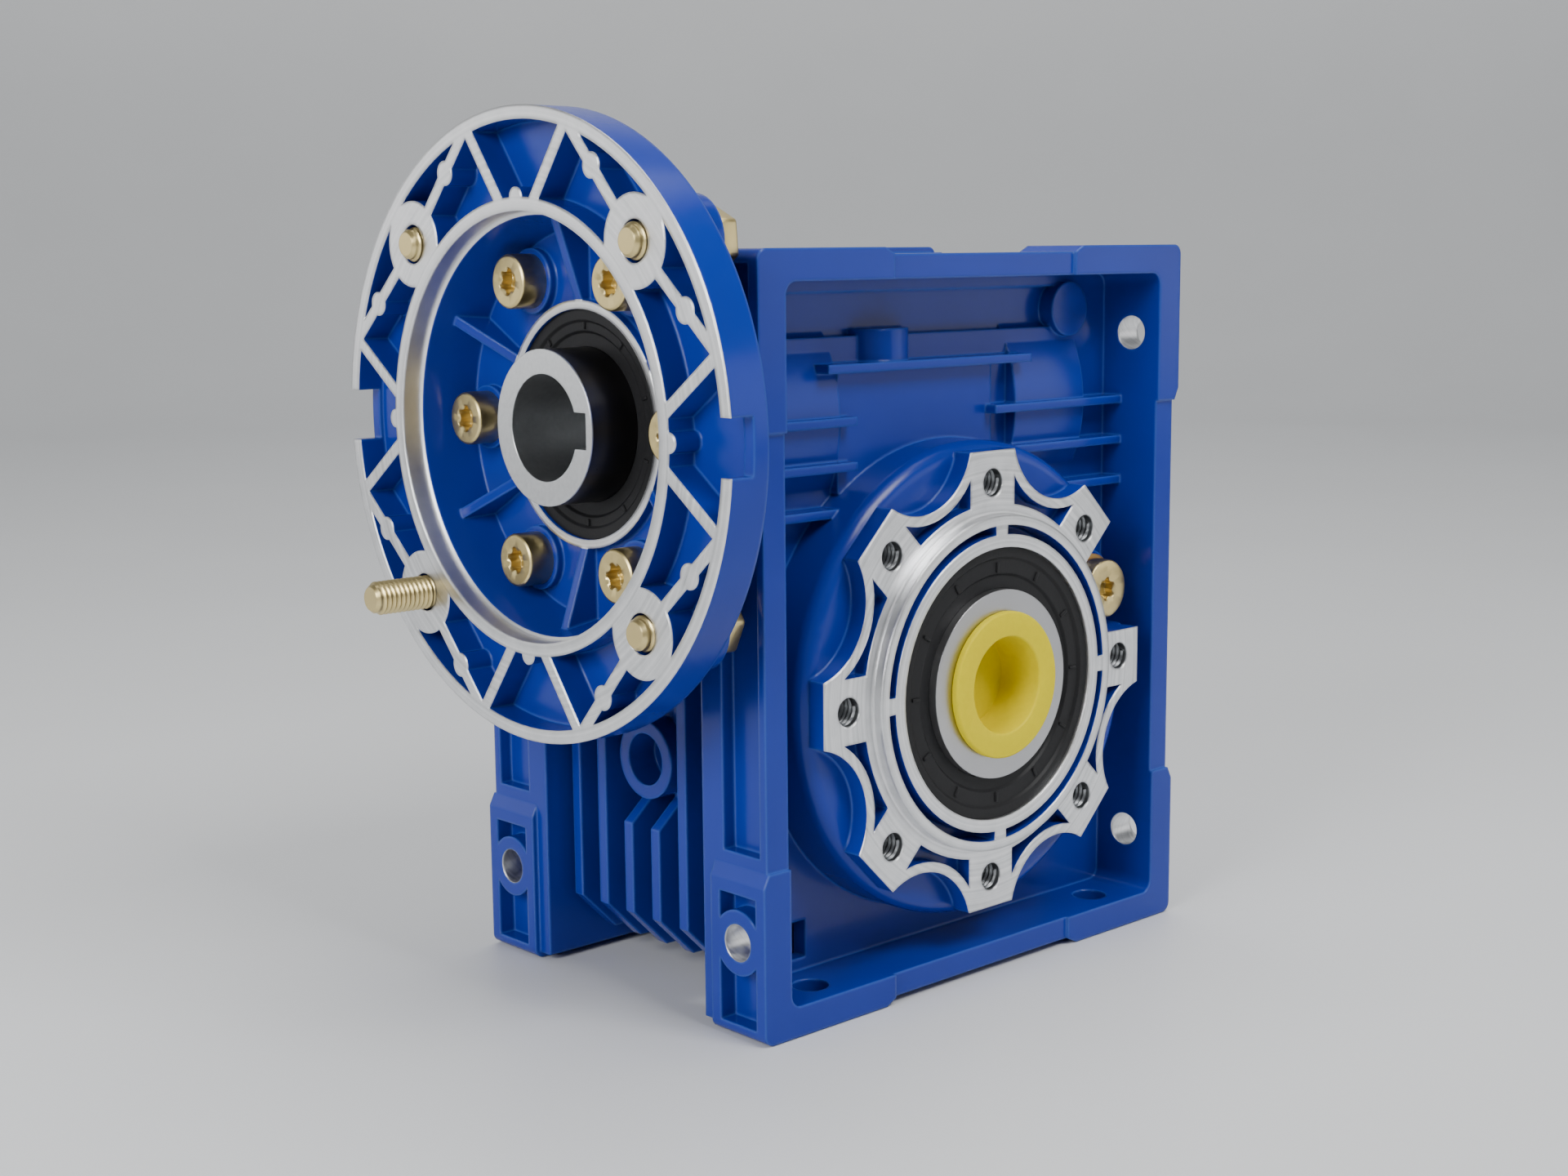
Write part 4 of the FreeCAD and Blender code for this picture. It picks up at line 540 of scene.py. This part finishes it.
bolt_circle, short_length, pitch = 57.5, 19.6, 1.25
bolt_seat = node_box("motor_bolt_washers")[1].x
long_length = bolt_seat - node_box("motor_bolts")[0].x
bolt_seats = circle_of_seats((bolt_seat, 0, worm_line), motor_across, bolt_circle, count=4,
                             facing=facing_motor, first=math.radians(45), turn=math.radians(65),
                             twist=math.radians(90))
short_bolts = place_copies(hexagon_bolt(short_length, pitch), bolt_seats[:3])
long_bolt = place_copies(hexagon_bolt(long_length, pitch), bolt_seats[3:])
finished_piece("motor_bolt_set", short_bolts, gold_zinc, "case", "gold_zinc", "motor_bolts")
finished_piece("long_motor_bolt", long_bolt, gold_zinc, "case", "gold_zinc")
dress("motor_bolt_washers", gold_zinc)


# Oil plug: a gold flat-headed plug with a lobed socket on a soft sealing washer, screwed into the
# gap that is cut between two lugs of the output face.
socket_turn = 0.4
low, high = node_box("oil_plug_washer")
plug_seat = Matrix.Translation(((low.x + high.x) / 2, low.y, (low.z + high.z) / 2)) @ facing_front
plug_screw = socket_screw(shank=5, reach=11.5, head=7.5, height=5.5, socket=2.6, lobe_share=0.14)
oil_plug = place_copies(plug_screw, [plug_seat @ Matrix.Rotation(socket_turn, 4, "Z")])
finished_piece("oil_plug_screw", oil_plug, gold_zinc, "case", "gold_zinc", "oil_plug")
dress("oil_plug_washer", bronze)


# Tapped holes: eight lugs on each output face are drilled and tapped for the bolts of a driven
# machine, so cut threads of bare metal line the holes. Their metal is darkened as painted shade of
# the holes.
def tapped_lining(wall, crest, pitch, depth):
    """A thin closed cup with a thread inside that lines a tapped hole below Z = 0, in millimetres."""
    sunk, skin, rim, floor, first_turn, last_turn = 0.05, 0.11, 0.2, 0.4, 1.2, 1.8
    turns = (depth - first_turn - last_turn) / pitch
    lining = thread_ridge(wall + sunk, crest, pitch, turns, first_turn - depth)
    thread = set(lining.faces)
    ring = disc(lining, segments=40, radius=wall + skin, height=-depth)
    ring = ring_up(lining, ring, lift=depth - rim)
    ring = ring_up(lining, ring, wall / (wall + skin))
    ring = ring_up(lining, ring, lift=rim + floor - depth)
    bmesh.ops.contextual_create(lining, geom=ring)
    bmesh.ops.recalc_face_normals(lining, faces=[face for face in lining.faces if face not in thread])
    return lining


# Painted shade: the threads get a dark metal colour that stands in for the shade inside the holes.
shade_darkened_thread = turned_metal("shade_darkened_thread", (0.24, 0.25, 0.26), (0.38, 0.39, 0.40), smooth=0.28, rough=0.42)
mounts = {mount["name"]: mount for mount in frame["record"]["mounts"]}
for name, mount, facing in (("front_tap_threads", "front_face_bolts", facing_front),
                            ("rear_tap_threads", "rear_face_bolts", facing_rear)):
    lug_face = mounts[mount]["pos_m"][1] / millimetre
    lug_circle = mounts[mount]["dims"]["pcd_mm"] / 2
    lug_seats = circle_of_seats((0, lug_face, 0), output_across, lug_circle, count=8, facing=facing)
    threads = place_copies(tapped_lining(wall=3.27, crest=2.9, pitch=1.25, depth=11.8), lug_seats)
    finished_piece(name, threads, shade_darkened_thread, "case", "shaft_steel")


# Shaft plug: a moulded cap of yellow plastic, pushed into the front of the hollow output shaft to
# keep dirt out until a driven shaft is fitted.
plug_plastic, tree, shader = new_finish("plug_plastic")
mould = grain(tree, scale=700, detail=3)
tree.links.new(between(tree, mould, (0.66, 0.53, 0.0), (0.74, 0.60, 0.001)), shader.inputs["Base Color"])
tree.links.new(between(tree, mould, low=0.42, high=0.54), shader.inputs["Roughness"])
emboss(tree, shader, mould, strength=0.08)
shader.inputs["Specular IOR Level"].default_value = 0.15
shader.inputs["Subsurface Weight"].default_value = 0.05
collar_radius, collar_height, mouth_radius, rounding = 17.5, 2, 11.5, 0.6
body_radius, body_depth, hollow_radius, hollow_depth = 13.2, 12, 11.1, 10
collar = [(mouth_radius, -collar_height), (collar_radius, -collar_height), (collar_radius, 0)]
body = [(body_radius, 0), (body_radius, body_depth)]
floor = [(0, body_depth), (0, hollow_depth), (hollow_radius, hollow_depth)]
plug = bmesh.new()
corners = [plug.verts.new((radius, depth, 0)) for radius, depth in collar + body + floor]
plug.faces.new(corners)
bmesh.ops.bevel(plug, geom=corners[:len(collar + body)], offset=rounding, offset_type="OFFSET", segments=4,
                profile=0.5, affect="VERTICES", material=-1)
bmesh.ops.delete(plug, geom=list(plug.faces), context="FACES_ONLY")
on_axis = [edge for edge in plug.edges if all(corner.co.x == 0 for corner in edge.verts)]
bmesh.ops.delete(plug, geom=on_axis, context="EDGES")
bmesh.ops.spin(plug, geom=[*plug.verts, *plug.edges], cent=(0, 0, 0), axis=(0, 1, 0), angle=2 * math.pi,
               steps=96, use_merge=True)
bmesh.ops.remove_doubles(plug, verts=plug.verts, dist=0.001)
bmesh.ops.recalc_face_normals(plug, faces=plug.faces)
shaft_end = node_box("output_shaft")[0].y
bmesh.ops.translate(plug, verts=plug.verts, vec=(0, shaft_end, 0))
finished_piece("shaft_plug_cap", plug, plug_plastic, "plug", "yellow_plastic", "shaft_plug")
